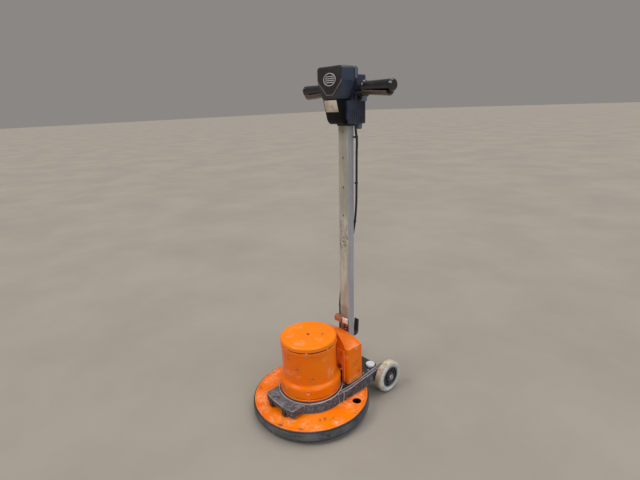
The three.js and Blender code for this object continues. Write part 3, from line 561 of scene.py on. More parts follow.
def column_paint(name):
    """Pale grey lacquer on the square tube, browned by slurry on its front, and darker towards its foot with dirt
    and painted shade.
    """
    f = Finish(name, 0.42, 0.15)
    front = f.mask(f.facing("Y"), -0.3, -0.8)
    runs = f.noise(26, 5, 0.65, (1.4, 1.4, 0.22))
    f.base = f.mix(f.mask(runs, 0.35, 0.65, 0.6), (0.36, 0.365, 0.40), (0.46, 0.46, 0.49))
    beige = f.mix(f.mask(runs, 0.36, 0.64), (0.42, 0.38, 0.30), (0.64, 0.60, 0.51))
    f.lay(beige, f.times(front, 0.92))
    f.lay((0.32, 0.32, 0.245), f.times(f.along("Z", 680, 720), f.times(front, 0.5)))
    # Darker below the release lever on the front: partly dirt, partly painted shade.
    f.lay((0.25, 0.205, 0.155), f.times(f.inverse(f.along("Z", 335, 350)), f.times(front, 0.55)))
    band = f.times(f.along("Z", 540, 580), f.inverse(f.along("Z", 660, 690)))
    blots = f.times(band, f.patches(0.52, 0.58, 0.85, 95, 5, 0.8, shift=13.0))
    f.lay((0.15, 0.12, 0.075), f.times(blots, front))
    stain = f.lay((0.19, 0.155, 0.115), f.patches(0.56, 0.74, 0.42, 60, 5, 0.75, (1, 1, 0.5), shift=5.0))
    flecks = f.lay((0.62, 0.60, 0.56), f.patches(0.64, 0.70, 0.6, 150, 3, 0.7, (1, 1, 0.6), shift=9.0))
    # A dark brown mottle low on the front: partly dirt, partly painted shade.
    low = f.times(f.inverse(f.along("Z", 262, 305)), front)
    foot_dirt_and_shade = f.mix(f.patches(0.40, 0.62, 1, 70, 5, 0.75, shift=4.0), (0.09, 0.05, 0.04), (0.24, 0.20, 0.15))
    f.lay(foot_dirt_and_shade, f.times(low, 0.85))
    f.lay((0.66, 0.65, 0.63), f.times(f.edges(2.0), f.patches(0.44, 0.60, 0.7, 45, 4, shift=3.0)))
    f.colour(f.base)
    f.rough(f.plus(0.36, f.times(f.plus(stain, flecks), 0.3)))
    f.bump(f.plus(f.noise(240, 3), flecks), 0.3, 0.6)
    return f


def lever_paint(name):
    """The release lever: a rust-brown paddle, worn to pale zinc where it crosses the column."""
    f = Finish(name, 0.5, 0.1)
    brown = f.mix(f.patches(0.4, 0.65, 1, 40, 4), (0.36, 0.125, 0.055), (0.52, 0.235, 0.13))
    bare = f.mix(f.patches(0.40, 0.60, 1, 90, 4, shift=2.0), (0.72, 0.64, 0.54), (0.95, 0.90, 0.83))
    f.base = f.mix(f.times(f.along("X", -3, 3), f.along("Z", 274, 279)), brown, bare)
    f.lay((0.14, 0.065, 0.04), f.times(f.edges(2.2), f.patches(0.38, 0.56, 1, 70, 4, shift=4.0)))
    f.colour(f.base)
    f.rough(f.plus(0.35, f.times(f.noise(60, 4, shift=7.0), 0.4)))
    f.bump(f.noise(180, 3, 0.65), 0.4, 0.6)
    return f


def tyre_grey(name):
    """Pale grey tyre, with a tread browned by the floor."""
    f = Finish(name, 0.7, specular=0.3)
    split = f.node("SeparateXYZ", {0: f.place})
    sideways = f.size(split.outputs[0])
    face = f.plus(f.mask(sideways, 0.156, 0.1605), f.inverse(f.mask(sideways, 0.1295, 0.134)))
    flat = f.node("CombineXYZ", {0: 0.0, 1: split.outputs[1], 2: split.outputs[2]}).outputs[0]
    axle = (0, WHEEL.y / 1000, WHEEL.z / 1000)
    radius = f.node("VectorMath", {0: flat, 1: axle}, operation="DISTANCE").outputs["Value"]
    side = f.mix(f.patches(0.38, 0.66, 1, 30, 4), (0.50, 0.50, 0.50), (0.68, 0.68, 0.68))
    tread = f.mix(f.patches(0.36, 0.66, 1, 55, 5, 0.7), (0.42, 0.34, 0.24), (0.70, 0.60, 0.46))
    f.base = f.mix(face, tread, side)
    inner = f.inverse(f.mask(radius, 0.040, 0.0445))
    f.lay((0.10, 0.10, 0.10), f.times(inner, 0.7))
    dirt = f.lay((0.20, 0.165, 0.13), f.patches(0.54, 0.72, 0.6, 90, 5, 0.75, shift=3.0))
    f.colour(f.base)
    f.rough(f.plus(0.6, f.times(dirt, 0.3)))
    f.bump(f.noise(240, 4, 0.7), 0.5, 0.6)
    return f


def label_paper(name):
    """A blank cream label, handled and smudged."""
    f = Finish(name, 0.55)
    f.base = f.mix(f.patches(0.40, 0.68, 1, 45, 4), (0.50, 0.41, 0.32), (0.68, 0.60, 0.50))
    f.lay((0.36, 0.27, 0.20), f.patches(0.56, 0.72, 0.45, 120, 5, 0.75, shift=2.0))
    f.colour(f.base)
    f.bump(f.noise(160, 3), 0.2, 0.5)
    return f


def grit(name):
    """The abrasive's open, gritty face."""
    f = Finish(name, 0.95, specular=0.2)
    grains = f.node("TexVoronoi", {"Vector": f.place, "Scale": 620.0}).outputs["Distance"]
    f.base = f.mix(f.mask(grains, 0.2, 0.7), (0.13, 0.11, 0.09), (0.05, 0.045, 0.04))
    f.lay((0.24, 0.22, 0.20), f.patches(0.42, 0.66, 0.6, 30, 4))
    f.colour(f.base)
    f.bump(grains, 1.2, 0.9)
    return f


def copper_wire(name):
    """Varnished windings."""
    f = Finish(name, 0.4, 0.8)
    turns = f.node("TexWave", {"Vector": f.place, "Scale": 160.0, "Distortion": 3.0, "Detail": 2.0}).outputs[1]
    f.colour(f.mix(f.mask(turns, 0.2, 0.8), (0.30, 0.11, 0.04), (0.62, 0.28, 0.11)))
    f.bump(turns, 0.8, 0.8)
    return f


def laminated(name):
    """A stack of thin steel sheets."""
    f = Finish(name, 0.45, 0.9)
    sheets = f.node("TexWave", {"Vector": f.place, "Scale": 320.0}, bands_direction="Z").outputs[1]
    f.base = f.mix(f.mask(sheets, 0.3, 0.7), (0.10, 0.10, 0.11), (0.30, 0.30, 0.31))
    f.lay((0.24, 0.14, 0.08), f.patches(0.55, 0.75, 0.6, 40, 4))
    f.colour(f.base)
    f.bump(sheets, 0.4, 0.7)
    return f


def floor_finish(name):
    """A plain pale floor."""
    f = Finish(name, 0.85, specular=0.2)
    clouds = f.noise(1.3, 5, 0.6)
    f.colour(f.mix(f.mask(clouds, 0.3, 0.7), (0.31, 0.277, 0.24), (0.35, 0.315, 0.272)))
    return f


CAP_PALE = [(27, -65, 297, 30), (-40, -52, 297, 24), (55, 0, 296, 20), (-70, 10, 295, 26)]
CAP_DARK = [(-5, 2, 297, 14), (40, 40, 297, 16)]
BARREL_PALE = [
    (-16, -98, 184, 15), (5, -98, 188, 15), (24, -96, 188, 15), (42, -90, 183, 14), (98, -12, 241, 16),
    (79, -79, 136, 8), (79, -79, 127, 8), (99, 10, 180, 30),
]
BARREL_DARK = [(-2, -99, 250, 24), (45, -88, 215, 22), (80, -60, 170, 20)]
DECK_PALE = [
    (-168, -69, 55, 46), (-200, -28, 55, 40), (-75, -146, 55, 40), (-46, -190, 55, 34), (69, -156, 55, 30),
    (116, -129, 55, 34), (165, -114, 55, 34), (165, 48, 55, 42), (126, 32, 55, 28), (20, -184, 55, 34),
    (140, 110, 55, 40), (-110, -150, 55, 44), (-150, 100, 55, 44), (-40, 190, 55, 40), (190, -40, 55, 30),
]
DECK_DARK = [
    (-153, -116, 55, 22), (153, -58, 55, 20), (140, -76, 55, 18), (168, -32, 55, 18), (196, 35, 55, 20),
    (-190, 60, 55, 20), (60, -190, 55, 18), (-120, 150, 55, 24), (120, -150, 55, 20), (-196, -40, 55, 18),
]
BOX_PALE = [
    (106, 125, 100, 26), (106, 150, 104, 24), (104, 96, 100, 20), (106, 140, 228, 16), (95, 93, 200, 16),
    (0, 120, 285, 30), (-106, 130, 120, 26),
]
BOX_DARK = [
    (106, 124, 160, 18), (106, 138, 170, 16), (106, 150, 122, 18), (-106, 130, 160, 22), (40, 160, 255, 18),
]

# The cap gets lighter, yellower tones than the other enamel: painted light on its top face.
ORANGE_CAP_LIT = orange_paint("cap_enamel_lit", CAP_PALE, CAP_DARK, 0.6, ((1.0, 0.225, 0.002), (1.0, 0.265, 0.004)))
ORANGE_MOTOR = orange_paint("motor_enamel", BARREL_PALE, BARREL_DARK, 0.8)
ORANGE_DECK = orange_paint("deck_enamel", DECK_PALE, DECK_DARK, 1.25)
ORANGE_BOX = orange_paint("box_enamel", BOX_PALE, BOX_DARK, 0.8)
BUMPER = rubber("bumper_rubber", (0.070, 0.071, 0.075), (0.150, 0.152, 0.165))
CASTING = cast_paint("frame_casting")
# Pale metal for the yoke's edge beads: worn edges and painted highlight.
WORN_EDGE_AND_HIGHLIGHT = metal("worn_frame_edge_and_highlight", (0.56, 0.54, 0.55), 0.5, (0.16, 0.15, 0.16), 0.75, 0.2)
BLACK_STEEL = plastic("black_steel_paint", (0.020, 0.021, 0.025), (0.045, 0.046, 0.052), 0.45, 0.3, wear=0.8)
BARE_STEEL = metal("bare_steel", (0.46, 0.46, 0.47), 0.32, (0.20, 0.17, 0.14))
ALUMINIUM = metal("cast_aluminium", (0.50, 0.50, 0.51), 0.5, (0.28, 0.27, 0.25))
GEAR_STEEL = metal("gear_steel", (0.36, 0.37, 0.38), 0.28, (0.12, 0.11, 0.09), 0.4)
LAMINATED = laminated("laminated_steel")
COPPER = copper_wire("copper_winding")
BLACK_PLASTIC = plastic("black_plastic", (0.016, 0.017, 0.020), (0.034, 0.035, 0.040))
# The front cover's plastic, with a painted blue reflection of the side light on its sideways faces.
HEAD_FRONT = plastic("head_front_plastic", (0.020, 0.020, 0.022), (0.038, 0.038, 0.041), 0.5, 0.5, tint=painted_blue_side_reflection)
# A darker, duller copy of the head plastic: painted shade on the chin under the head.
CHIN_SHADED = plastic("chin_plastic_shaded", (0.004, 0.004, 0.005), (0.009, 0.009, 0.010), 0.5, 0.4, wear=0.4, specular=0.15)
# Dark plastic tinted blue-grey: the blue paints the side light's reflection on the rear cover.
HEAD_REAR_BLUE_REFLECTION = plastic("head_rear_plastic_blue_reflection", (0.014, 0.019, 0.036), (0.042, 0.056, 0.100), 0.38, 0.4, wear=0.8)
# A pale blue that paints the side light's highlight on the head's ledges and pads and on the mains gland.
BLUE_HIGHLIGHT = plastic("head_ledge_painted_highlight", (0.11, 0.135, 0.20), (0.20, 0.24, 0.34), 0.35, 0.3)
BADGE_PANEL = plastic("badge_panel_plastic", (0.011, 0.011, 0.012), (0.020, 0.020, 0.022), 0.40, 0.2)
BADGE_LINE = plastic("badge_line_paint", (0.20, 0.20, 0.20), (0.34, 0.34, 0.33), 0.5, 0.1, wear=0.2)
GLOSS_BLACK = plastic("gloss_black_grip", (0.006, 0.006, 0.008), (0.014, 0.014, 0.018), 0.16, 0.08, 0.5, 0.35)
LEAD_BLACK = plastic("lead_sheath", (0.010, 0.010, 0.012), (0.022, 0.022, 0.025), 0.5, 0.3)
BROWN, BROWN_LIGHT = (0.085, 0.058, 0.040), (0.17, 0.125, 0.090)
# Brown plastic, blacked out as painted shade where the lever runs into the head.
LEVER_BROWN = plastic("lever_brown_plastic", BROWN, BROWN_LIGHT, 0.30, 0.15, 0.3, tint=painted_recess_shade)
WHITE_PLASTIC = plastic("white_plastic", (0.78, 0.78, 0.79), (0.90, 0.90, 0.91), 0.35, 0.2, wear=0.1)
COLUMN = column_paint("column_lacquer")
RELEASE = lever_paint("release_lever_paint")
BRACKET_RED = plastic("lever_bracket_paint", (0.14, 0.020, 0.014), (0.24, 0.060, 0.035), 0.5, 0.3)
TYRE = tyre_grey("tyre_grey")
HUB = plastic("hub_plastic", (0.012, 0.013, 0.016), (0.034, 0.036, 0.042), 0.38, 0.2, wear=0.9)
# Pale grey that paints the highlights on the hub's ring edges.
HUB_HIGHLIGHT = metal("hub_painted_highlight", (0.24, 0.24, 0.27), 0.42, (0.07, 0.07, 0.08), 0.8, 0.5)
EMBLEM = metal("blank_emblem", (0.66, 0.66, 0.67), 0.34, (0.34, 0.34, 0.34), 0.5, 0.6)
LABEL = label_paper("blank_label")
GRIT = grit("abrasive_grit")


def wear_finish(obj, finish):
    obj.data.materials.clear()
    obj.data.materials.append(finish.material)


def piece(obj, body, finish, replaces=(), place=None, sharp=38):
    """Turns a finished shape into metres and has it ride on a CAD body."""
    if place is not None:
        obj.data.transform(place)
    obj.data.transform(TO_METRES)
    obj.data.shade_smooth()
    obj.data.set_sharp_from_angle(angle=sharp * DEGREE)
    wear_finish(obj, finish)
    if body:
        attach(obj, body)
    if replaces:
        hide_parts(*replaces)
    return obj


def up_piece(obj, finish, replaces=(), body="column"):
    """A piece laid out in the upright's own frame."""
    return piece(obj, body, finish, replaces, UPRIGHT)


# ---- Deck, disc and bumper ----


def make_deck():
    outline = [
        (60, 57, 1), (118, 57, 30), (195, 53, 10), (203, 53.5, 3), (206, 56, 1.2), (209.6, 56, 1.2),
        (209.6, 34, 0.8), (205.6, 34, 0.8), (203.1, 48, 2), (118, 52), (60, 52, 1),
    ]
    deck = lathe("deck_surface", outline, 160)
    cut(deck, rod("hole", 16, 30, 70, centre=(155.6, 82.9, 0), segments=48))
    piece(soften(deck, 0.9, 2, 50), "chassis", ORANGE_DECK, ["deck_plate"])

    outline = [
        (208, 15, 1), (212, 15, 3), (215.2, 20, 5), (216, 31, 8), (215.6, 41, 8), (214.6, 49, 5), (212.8, 54, 3),
        (211.4, 54.6, 0.8), (210.8, 51, 0.5), (209.9, 50.4, 0.3), (209.9, 33.7), (205.6, 33.7), (205.6, 28.7, 1),
        (208, 27, 1),
    ]
    piece(lathe("bumper_surface", outline, 160), "chassis", BUMPER, ["bumper_ring"])

    outline = [
        (0, 12.3), (197, 12.3, 0.6), (197, 18, 1), (150, 20, 3), (34, 20, 3), (30, 24, 2), (30, 44, 1.5),
        (12.3, 44, 0.8), (12.3, 24), (0, 24),
    ]
    piece(lathe("drive_disc_surface", outline, 96), "disc", BLACK_PLASTIC, ["drive_disc"])

    abrasive = rod("abrasive_surface", 198, 0, 12, segments=96, fillet=1.0)
    grooves = around(lambda n: block(n, (60, 203), (-4.5, 4.5), (-1, 5)), 12, 15)
    cut(abrasive, together("grooves", *grooves))
    piece(abrasive, "disc", GRIT, ["abrasive_disc"])


# ---- Motor ----


def make_motor():
    outline = [
        (9.5, 90.3), (108, 90.3, 2), (112, 94.3, 3), (112, 100.3, 1), (106, 100.3, 0.8), (106, 98, 1),
        (22, 98, 1), (22, 100.5, 0.5), (17.7, 100.5, 0.4), (17.7, 93), (9.5, 93),
    ]
    flange = lathe("motor_flange_surface", outline, 128)
    piece(flange, "chassis", ORANGE_MOTOR, ["motor_flange"])
    ring = [(112.4, 84), (114.7, 84), (114.7, 92.6, 0.5), (113.6, 94.6, 0.8), (112.4, 94.6, 0.4)]
    piece(lathe("motor_seat", ring, 128, 0.2), "chassis", BLACK_STEEL)

    outline = [
        (108, 104.3, 0.6), (112, 104.3, 1.4), (112, 136, 4), (109, 142, 5), (101, 147, 4), (99, 151, 5),
        (99, 262, 1), (101, 264.5, 1), (101, 275, 1.2), (95.3, 275, 0.6), (95.3, 150, 2), (108, 134, 2),
    ]
    housing = lathe("motor_housing_surface", outline, 128)
    lower = around(lambda n: block(n, (108.5, 111.4), (-5.5, 5.5), (100.6, 106)), LUGS)
    upper = around(lambda n: block(n, (96.3, 100.4), (-3, 3), (273, 279.7)), LUGS)
    tabs = around(lambda n: block(n, (100, 101.8), (-2.4, 2.4), (266, 278)), LUGS)
    join(housing, together("lugs", *lower, *upper), together("tabs", *tabs))
    dimples = around(lambda n: rod(n, 4.6, 109.4, 116, "X", (0, 0, 132.5), 24), LUGS)
    cut(housing, together("dimples", *dimples))
    piece(soften(housing, 0.5, 2, 60), "chassis", ORANGE_MOTOR, ["motor_housing"])

    heads = around(lambda n: rod(n, 2.8, 108.6, 110.6, "X", (0, 0, 132.5), 6, 0.3), LUGS)
    piece(together("skirt_screws", *heads), "chassis", BARE_STEEL)

    outline = [
        (97, 280, 0.5), (101, 280, 1.2), (101, 292.4, 3), (97.5, 296.4, 3), (89, 297.4, 10), (6, 297.4, 0.6),
        (6, 293.4, 0.5), (95, 293.4, 1),
    ]
    piece(lathe("motor_cap_surface", outline, 128), "chassis", ORANGE_CAP_LIT, ["motor_cap"])


# ---- Yoke, wheels and the plate between its arms ----


ARM_INSIDE = [(98, 285), (98, 270), (110, 160), (113, 85), (108, 40)]
ARM_LOW = [(127, 25), (130, 90), (130.5, 150), (126.5, 204), (126, 285), *ARM_INSIDE]
ARM_TOP = [(120, 25), (125.5, 80), (120.5, 135), (117.7, 197), (114, 285), *ARM_INSIDE]


def make_yoke():
    yoke = lathe("yoke_surface", [(110, 57.3), (128, 57.3), (121, 87), (119, 90), (110, 90)], 128, 0)
    front = [(74, -90), (77, -100), (77, -143), (72, -149), (40, -156), (0.01, -157)]
    nose = prism("nose", mirrored(front), 62, YOKE_HIGH)
    cut(nose, block("undercut", (-52, 52), (-162, -132), (55, 74)))
    latches = [block(f"latch{x}", (x - 9, x + 9), (-153, -125), (64, 75)) for x in (-36, 36)]
    arms = []
    for side in (1, -1):
        lower = [(side * x, y, YOKE_LOW) for x, y in ARM_LOW]
        upper = [(side * x, y, YOKE_HIGH) for x, y in ARM_TOP]
        arms.append(skin(f"arm{side}", [lower, upper]))
        low_foot = [(side * x, y, 44) for x, y in ((106, 216), (118, 216), (118, 285), (106, 285))]
        high_foot = [(side * x, y, 58.3) for x, y in ((106, 216), (125, 216), (125, 285), (106, 285))]
        arms.append(skin(f"foot{side}", [low_foot, high_foot]))
    bar = block("crossbar", (-109, 109), (190, 206), (68, 85.7))
    join(yoke, nose, *latches, *arms, bar)
    cut(yoke, rod("bore", 115, 40, 100, segments=128), rod("hole", 10.3, -140, 140, "X", (0, 270, 62)))
    soften(yoke, 1.5, 3, 25)
    piece(yoke, "chassis", CASTING, ["yoke_frame"], sharp=30)

    # Pale beads along the top edges of each arm, across its front end, and round the motor's seat: worn metal and
    # painted highlight.
    beads = []
    for side in (1, -1):
        inner = [(107, 34, 90), (110.8, 60, 90), (113, 85, 90), (112.2, 120, 90), (110, 160, 90), (98.5, 265, 90)]
        outer = [(124.6, 56, 89.4), (125.3, 80, 89.4), (120.6, 135, 89.4), (117.8, 197, 89.4), (114.4, 282, 89.4)]
        front = [(112, 50, 90.2), (119, 51, 89.9), (124.5, 50, 88.6), (128, 46, 74), (130.2, 40, 59)]
        for k, (path, radius) in enumerate(((inner, 1.1), (outer, 0.9), (front, 1.0))):
            route = [(side * x, y, z) for x, y, z in path]
            beads.append(tube(f"bead{side}{k}", smooth_path(route), radius, 10))
    beads.append(lathe("rim", [(115.1, 89.4), (118.4, 89.4), (118.2, 91, 0.7), (115.3, 91.4, 0.7)], 128, 0.2))
    piece(together("arm_beads", *beads), "chassis", WORN_EDGE_AND_HIGHLIGHT)

    # Latch hooks under the nose, and the bolts of the arms.
    hooks = []
    for x in (-36, 36):
        hooks.append(soften(block(f"hook{x}", (x - 9, x + 9), (-160, -153), (57.5, 79)), 1.4))
        hooks.append(rod(f"pin{x}", 3, x - 16, x + 16, "X", (0, -151, 66), 20, 0.5))
    piece(together("nose_latches", *hooks), "chassis", BLACK_STEEL)
    spots = [(x, y) for x in (96, -96) for y in (182, 210)]
    bolts = [screw(f"bolt{x}{y}", 4.5, 3.2, "Z", (x, y, YOKE_HIGH)) for x, y in spots]
    piece(together("plate_bolts", *bolts), "chassis", BARE_STEEL)


def make_plate():
    edge = math.asin(107.5 / 122.5) / DEGREE
    left = [(110, 85), (108.5, 160), (97, 257), (87, 267)]
    right = [(-x, y) for x, y in reversed(left)]
    outline = [*arc((0, 0), 122.5, 90 + edge, 90 - edge, 40), *left, *right]
    plate = soften(prism("rear_plate_surface", outline, 86, YOKE_HIGH), 0.8, 2)
    piece(plate, "chassis", BLACK_STEEL, ["rear_plate"])
    for side, word in SIDES:
        profile = [(0, 90.3), (17, 90.3), (18, 91.8, 0.8), (18, 97.3, 2), (15.5, 99.8, 1.5), (6, 100.3, 1)]
        profile += [(5, 99.3, 0.6), (0, 99.3)]
        cap = lathe(f"rear_cap_{word}_surface", profile, 64, centre=(side * 79, 242, 0))
        piece(cap, "chassis", WHITE_PLASTIC, [f"rear_cap_{word}"])


def make_wheel(side, word):
    place = shift(side * WHEEL.x, WHEEL.y, WHEEL.z) @ turn(0 if side > 0 else 180)
    outline = [
        (40, -13, 1), (46, -16, 2), (55.7, -16, 2), (61.7, -10, 3), (61.7, -7.2, 0.4), (60.9, -6.6, 0.3),
        (61.7, -6, 0.4), (61.7, 6, 0.4), (60.9, 6.6, 0.3), (61.7, 7.2, 0.4), (61.7, 10, 3), (55.7, 16, 2),
        (52.6, 16, 0.5), (52, 15.3, 0.4), (51.4, 16, 0.5), (46, 16, 1.5), (43, 14.4, 1), (40, 14, 1),
    ]
    tyre = lathe(f"wheel_tyre_{word}_surface", outline, 96, axis="X")
    piece(tyre, f"wheel_{word}", TYRE, [f"wheel_tyre_{word}"], place)
    outline = [
        (10.3, -13), (39.7, -13, 1), (39.7, 12.6, 1.2), (36.5, 13, 1), (34.5, 7, 1.2), (31, 7, 0.6),
        (30.2, 8.6, 0.5), (29.2, 8.6, 0.5), (28.4, 7, 0.6), (20, 7, 1.2), (18, 12.4, 1.5), (14.6, 13.6, 1),
        (13.6, 12.4, 0.5), (10.3, 12.4),
    ]
    hub = lathe(f"wheel_hub_{word}_surface", outline, 96, axis="X")
    pockets = []
    for i in range(6):
        turned = 60 * i
        outline = [*arc((0, 0), 33.2, turned - 19, turned + 19, 8), *arc((0, 0), 21.4, turned + 15, turned - 15, 6)]
        pockets.append(prism(f"pocket{i}", outline, 1.5, 20, axis="X", fillet=1.2))
    cut(hub, together("pockets", *pockets))
    piece(soften(hub, 0.4, 2, 50), f"wheel_{word}", HUB, [f"wheel_hub_{word}"], place)
    # Pale rings on the hub's face that paint the highlights on its ring edges.
    highlight_rings = []
    for r, width, h in ((36.6, 2.0, 12.9), (28.6, 1.4, 8.5), (14.8, 2.6, 13.1)):
        ring = [(r, h), (r + width, h), (r + width, h + 0.9, 0.4), (r, h + 0.9, 0.4)]
        highlight_rings.append(lathe(f"lit_ring{r}", ring, 96, 0.2, "X"))
    piece(together(f"wheel_highlight_rings_{word}", *highlight_rings), f"wheel_{word}", HUB_HIGHLIGHT, place=place)
    outline = [(0, 16.8), (12, 16.8), (12, 18.4, 0.8), (10, 20.1, 1), (4.4, 20.3, 0.3), (3.6, 19.4, 0.3), (0, 19.4)]
    cap = lathe(f"axle_cap_{word}_surface", outline, 48, axis="X")
    piece(cap, "chassis", BARE_STEEL, [f"axle_cap_{word}"], place)


# ---- Electrical box ----


def arch(radius, arch_half, inset, bottom):
    """A section across the box: upright sides, a flat shoulder where there is one, and an arched crown."""
    half = BOX_HALF - inset
    shoulder = BOX_SHOULDER - inset
    centre = BOX_SHOULDER - math.sqrt(radius**2 - arch_half**2)
    reach = min(half - 0.5, math.sqrt((radius - inset) ** 2 - (shoulder - centre) ** 2))
    side = math.acos(reach / (radius - inset)) / DEGREE
    crown = arc((0, centre), radius - inset, side, 180 - side, 40)
    return [(-half, bottom), (half, bottom), (half, shoulder - 0.5), *crown, (-half, shoulder - 0.5)]


def box_form(name, inset, bottom):
    """The box as a solid, with its upright front corners rounded."""
    front = [(x, 92 + inset, z) for x, z in arch(101, 94, inset, bottom)]
    rear = [(x, 165 - inset, z) for x, z in arch(272, 105.5, inset, bottom)]
    waste = [*arc((94, 104), BOX_CORNER - inset, -90, 0, 16), (116, 104), (116, 82), (94, 82)]
    tools = [prism(f"waste{s}", [(s * x, y) for x, y in waste], 70, 330) for s in (1, -1)]
    return cut(skin(name, [front, rear]), *tools)


def motor_room(name, extra):
    upper, lower = 103.5 + extra, 114.8 + extra
    return lathe(name, [(0, 60), (lower, 60), (lower, 142), (upper, 153), (upper, 320), (0, 320)], 128, 0)


def make_box():
    box = soften(box_form("electrical_box_surface", 0, 90.3), 2.2, 3, 40)
    cut(box, motor_room("room", 0))
    cut(box, cut(box_form("inside", 3, 80), motor_room("room", 3)))
    piece(box, "chassis", ORANGE_BOX, ["electrical_box"], sharp=30)
    ribs = []
    for side in (1, -1):
        for x, low in ((56, 170), (62, 168), (68, 166), (74, 166), (81, 96), (88, 96)):
            span = sorted((side * (x - 1.3), side * (x + 1.3)))
            ribs.append(soften(block(f"rib{side}{x}", span, (87, 93.5), (low, 226)), 0.9, 2))
    piece(together("box_ribs", *ribs), "chassis", ORANGE_BOX)
    heads = []
    for side in (1, -1):
        for y in (116, 152):
            spot = shift(side * BOX_HALF, y, 101) @ turn(side * 90, "Y")
            heads.append(placed(screw(f"head{side}{y}", 3.2, 1.8), spot))
        heads.append(screw(f"gap{side}", 4.4, 6, "Z", (side * 92, 80, YOKE_HIGH)))
    piece(together("box_screws", *heads), "chassis", BARE_STEEL)

    # A short lead that leaves the frame beside the motor's skirt and enters the box through a clip.
    for side, word in SIDES:
        route = [(75, 88.4, 90.5), (75, 88.4, 125), (72.5, 88.6, 146), (66, 89, 156), (62, 92, 163)]
        path = smooth_path([(side * x, y, z) for x, y, z in route])
        piece(tube(f"box_lead_{word}", path, 2.2, 12), "chassis", LEAD_BLACK)
        ring = [(2.3, 142), (3.2, 142, 0.4), (3.2, 149, 0.4), (2.3, 149)]
        clip = lathe(f"box_lead_clip_{word}", ring, 24, 0.1, centre=(side * 72.2, 88.6, 0))
        piece(clip, "chassis", EMBLEM)


# ---- Column foot, column, release lever and hook ----


def copy_of(node, name):
    """The CAD node's own mesh as a new shape, in millimetres, with its flat faces whole."""
    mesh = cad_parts[node].data.copy()
    mesh.transform(TO_METRES.inverted())
    shape = bmesh.new()
    shape.from_mesh(mesh)
    bmesh.ops.remove_doubles(shape, verts=shape.verts, dist=0.01)
    bmesh.ops.dissolve_limit(shape, angle_limit=0.5 * DEGREE, verts=shape.verts, edges=shape.edges)
    shape.to_mesh(mesh)
    shape.free()
    return new_object(name, mesh)


def make_column():
    foot = arc((0, 0), COLUMN_V, 180, 360, 24)
    tube_shape = prism("column_surface", [*foot, (COLUMN_V, 1032), (-COLUMN_V, 1032)], -COLUMN_X, COLUMN_X, "X")
    soften(tube_shape, 2.6, 4, 50)
    holes = [rod(f"hole{h}", 2.5, -20, -10, "Y", (0, 0, h), 20) for h in EYELETS]
    cut(
        tube_shape,
        block("inside", (-20, 20), (-13, 13), (-30, 1037)),
        rod("pin", 6.3, -40, 40, "X", segments=32),
        block("slot", (-40, 40), (-4.6, 4.6), (40.4, 55)),
        block("stub", (-10.1, -2.9), (-20, -10), (154, 168)),
        rod("bar", 12.8, -40, 40, "X", (0, 0, BAR_HEIGHT)),
        *holes,
    )
    up_piece(tube_shape, COLUMN, ["column_tube"])
    ring = [(2.7, 0), (4.4, 0), (4.2, 0.7, 0.3), (2.7, 0.9, 0.3)]
    rivets = [lathe(f"rivet{h}", ring, 24, 0.1, "Y", (0, 0, h)) for h in EYELETS]
    for rivet in rivets:
        placed(rivet, shift(0, -COLUMN_V, 0) @ Matrix.Diagonal((1, -1, 1, 1)))
        rivet.data.flip_normals()
    up_piece(together("column_eyelets", *rivets), BARE_STEEL)

    bracket = soften(copy_of("column_bracket", "column_bracket_surface"), 1.0, 2, 40)
    piece(bracket, "chassis", BLACK_STEEL, ["column_bracket"])
    pin = together(
        "pivot_pin_surface",
        rod("shank", 6, -28.4, 28.4, "X", PIVOT, 32),
        rod("head1", 9, 28.5, 32, "X", PIVOT, 6, 0.6),
        rod("head2", 9, -32, -28.5, "X", PIVOT, 6, 0.6),
    )
    piece(pin, "chassis", BARE_STEEL, ["pivot_pin"])

    bar = join(
        rod("lock_bar_surface", 4, -30, 30, "X", (0, 0, 45), 24, 0.8),
        rod("rod", 2.5, 45, 165.3, segments=20, fillet=0.5),
        rod("collar", 9, 161.3, 164.8, segments=32, fillet=0.6),
    )
    up_piece(bar, BARE_STEEL, ["lock_bar"], "lock")


def make_lever():
    outline = [
        (-43, 164, 5), (-43, 180, 6), (-31, 193, 6), (-10, 190, 5), (4, 184, 6), (24, 186, 3), (25, 170, 3),
        (24, 154, 4), (14, 150, 4), (-10, 152, 3), (-17, 160, 4), (-38, 159, 5),
    ]
    lever = soften(prism("tilt_lever_surface", outline, -25.6, -21.4, "Y"), 1.0, 3, 40)
    pad = prism("pad", [(-41, 162), (-41, 179), (-30, 190), (-4, 184), (-4, 163)], -30, -22, "Y", 5)
    stub = rod("stub", 3, -25, 6, "Y", (-6.5, 0, 158), 24, 0.4)
    join(lever, soften(pad, 2.2, 3), stub)
    cut(lever, rod("hole", 3.8, -32, -15, "Y", (14, 0, 160), 24))
    up_piece(lever, RELEASE, ["tilt_lever"], "release")
    plate = [(-1, 130), (22, 130), (22, 172), (-1, 172)]
    back = soften(prism("lever_bracket_surface", plate, -18.8, -15.8, "Y", 3), 0.7, 2, 40)
    pin = rod("pin", 3.5, -30, -16.5, "Y", (14, 0, 160), 24, 0.5)
    head = rod("head", 6.2, -30, -26.4, "Y", (14, 0, 160), 6, 0.5)
    join(back, pin, head)
    up_piece(back, BRACKET_RED, ["lever_bracket"])
    screws = [placed(screw(f"screw{h}", 3.2, 2), shift(10.5, -18.8, h) @ turn(90, "X")) for h in (137, 147)]
    up_piece(together("bracket_screws", *screws), BARE_STEEL)

    outline = [
        (15.8, 88, 2), (43.8, 88, 6), (54, 96, 5), (57, 152, 3.4), (50, 153, 3.4), (45, 104, 5), (20.8, 100, 5),
        (20.8, 150, 2), (15.8, 150, 1),
    ]
    hook = prism("cable_hook_surface", outline, -9, 9, "X")
    up_piece(soften(hook, 1.8, 3, 40), BLACK_PLASTIC, ["cable_hook"])


# ---- Head and handlebar ----


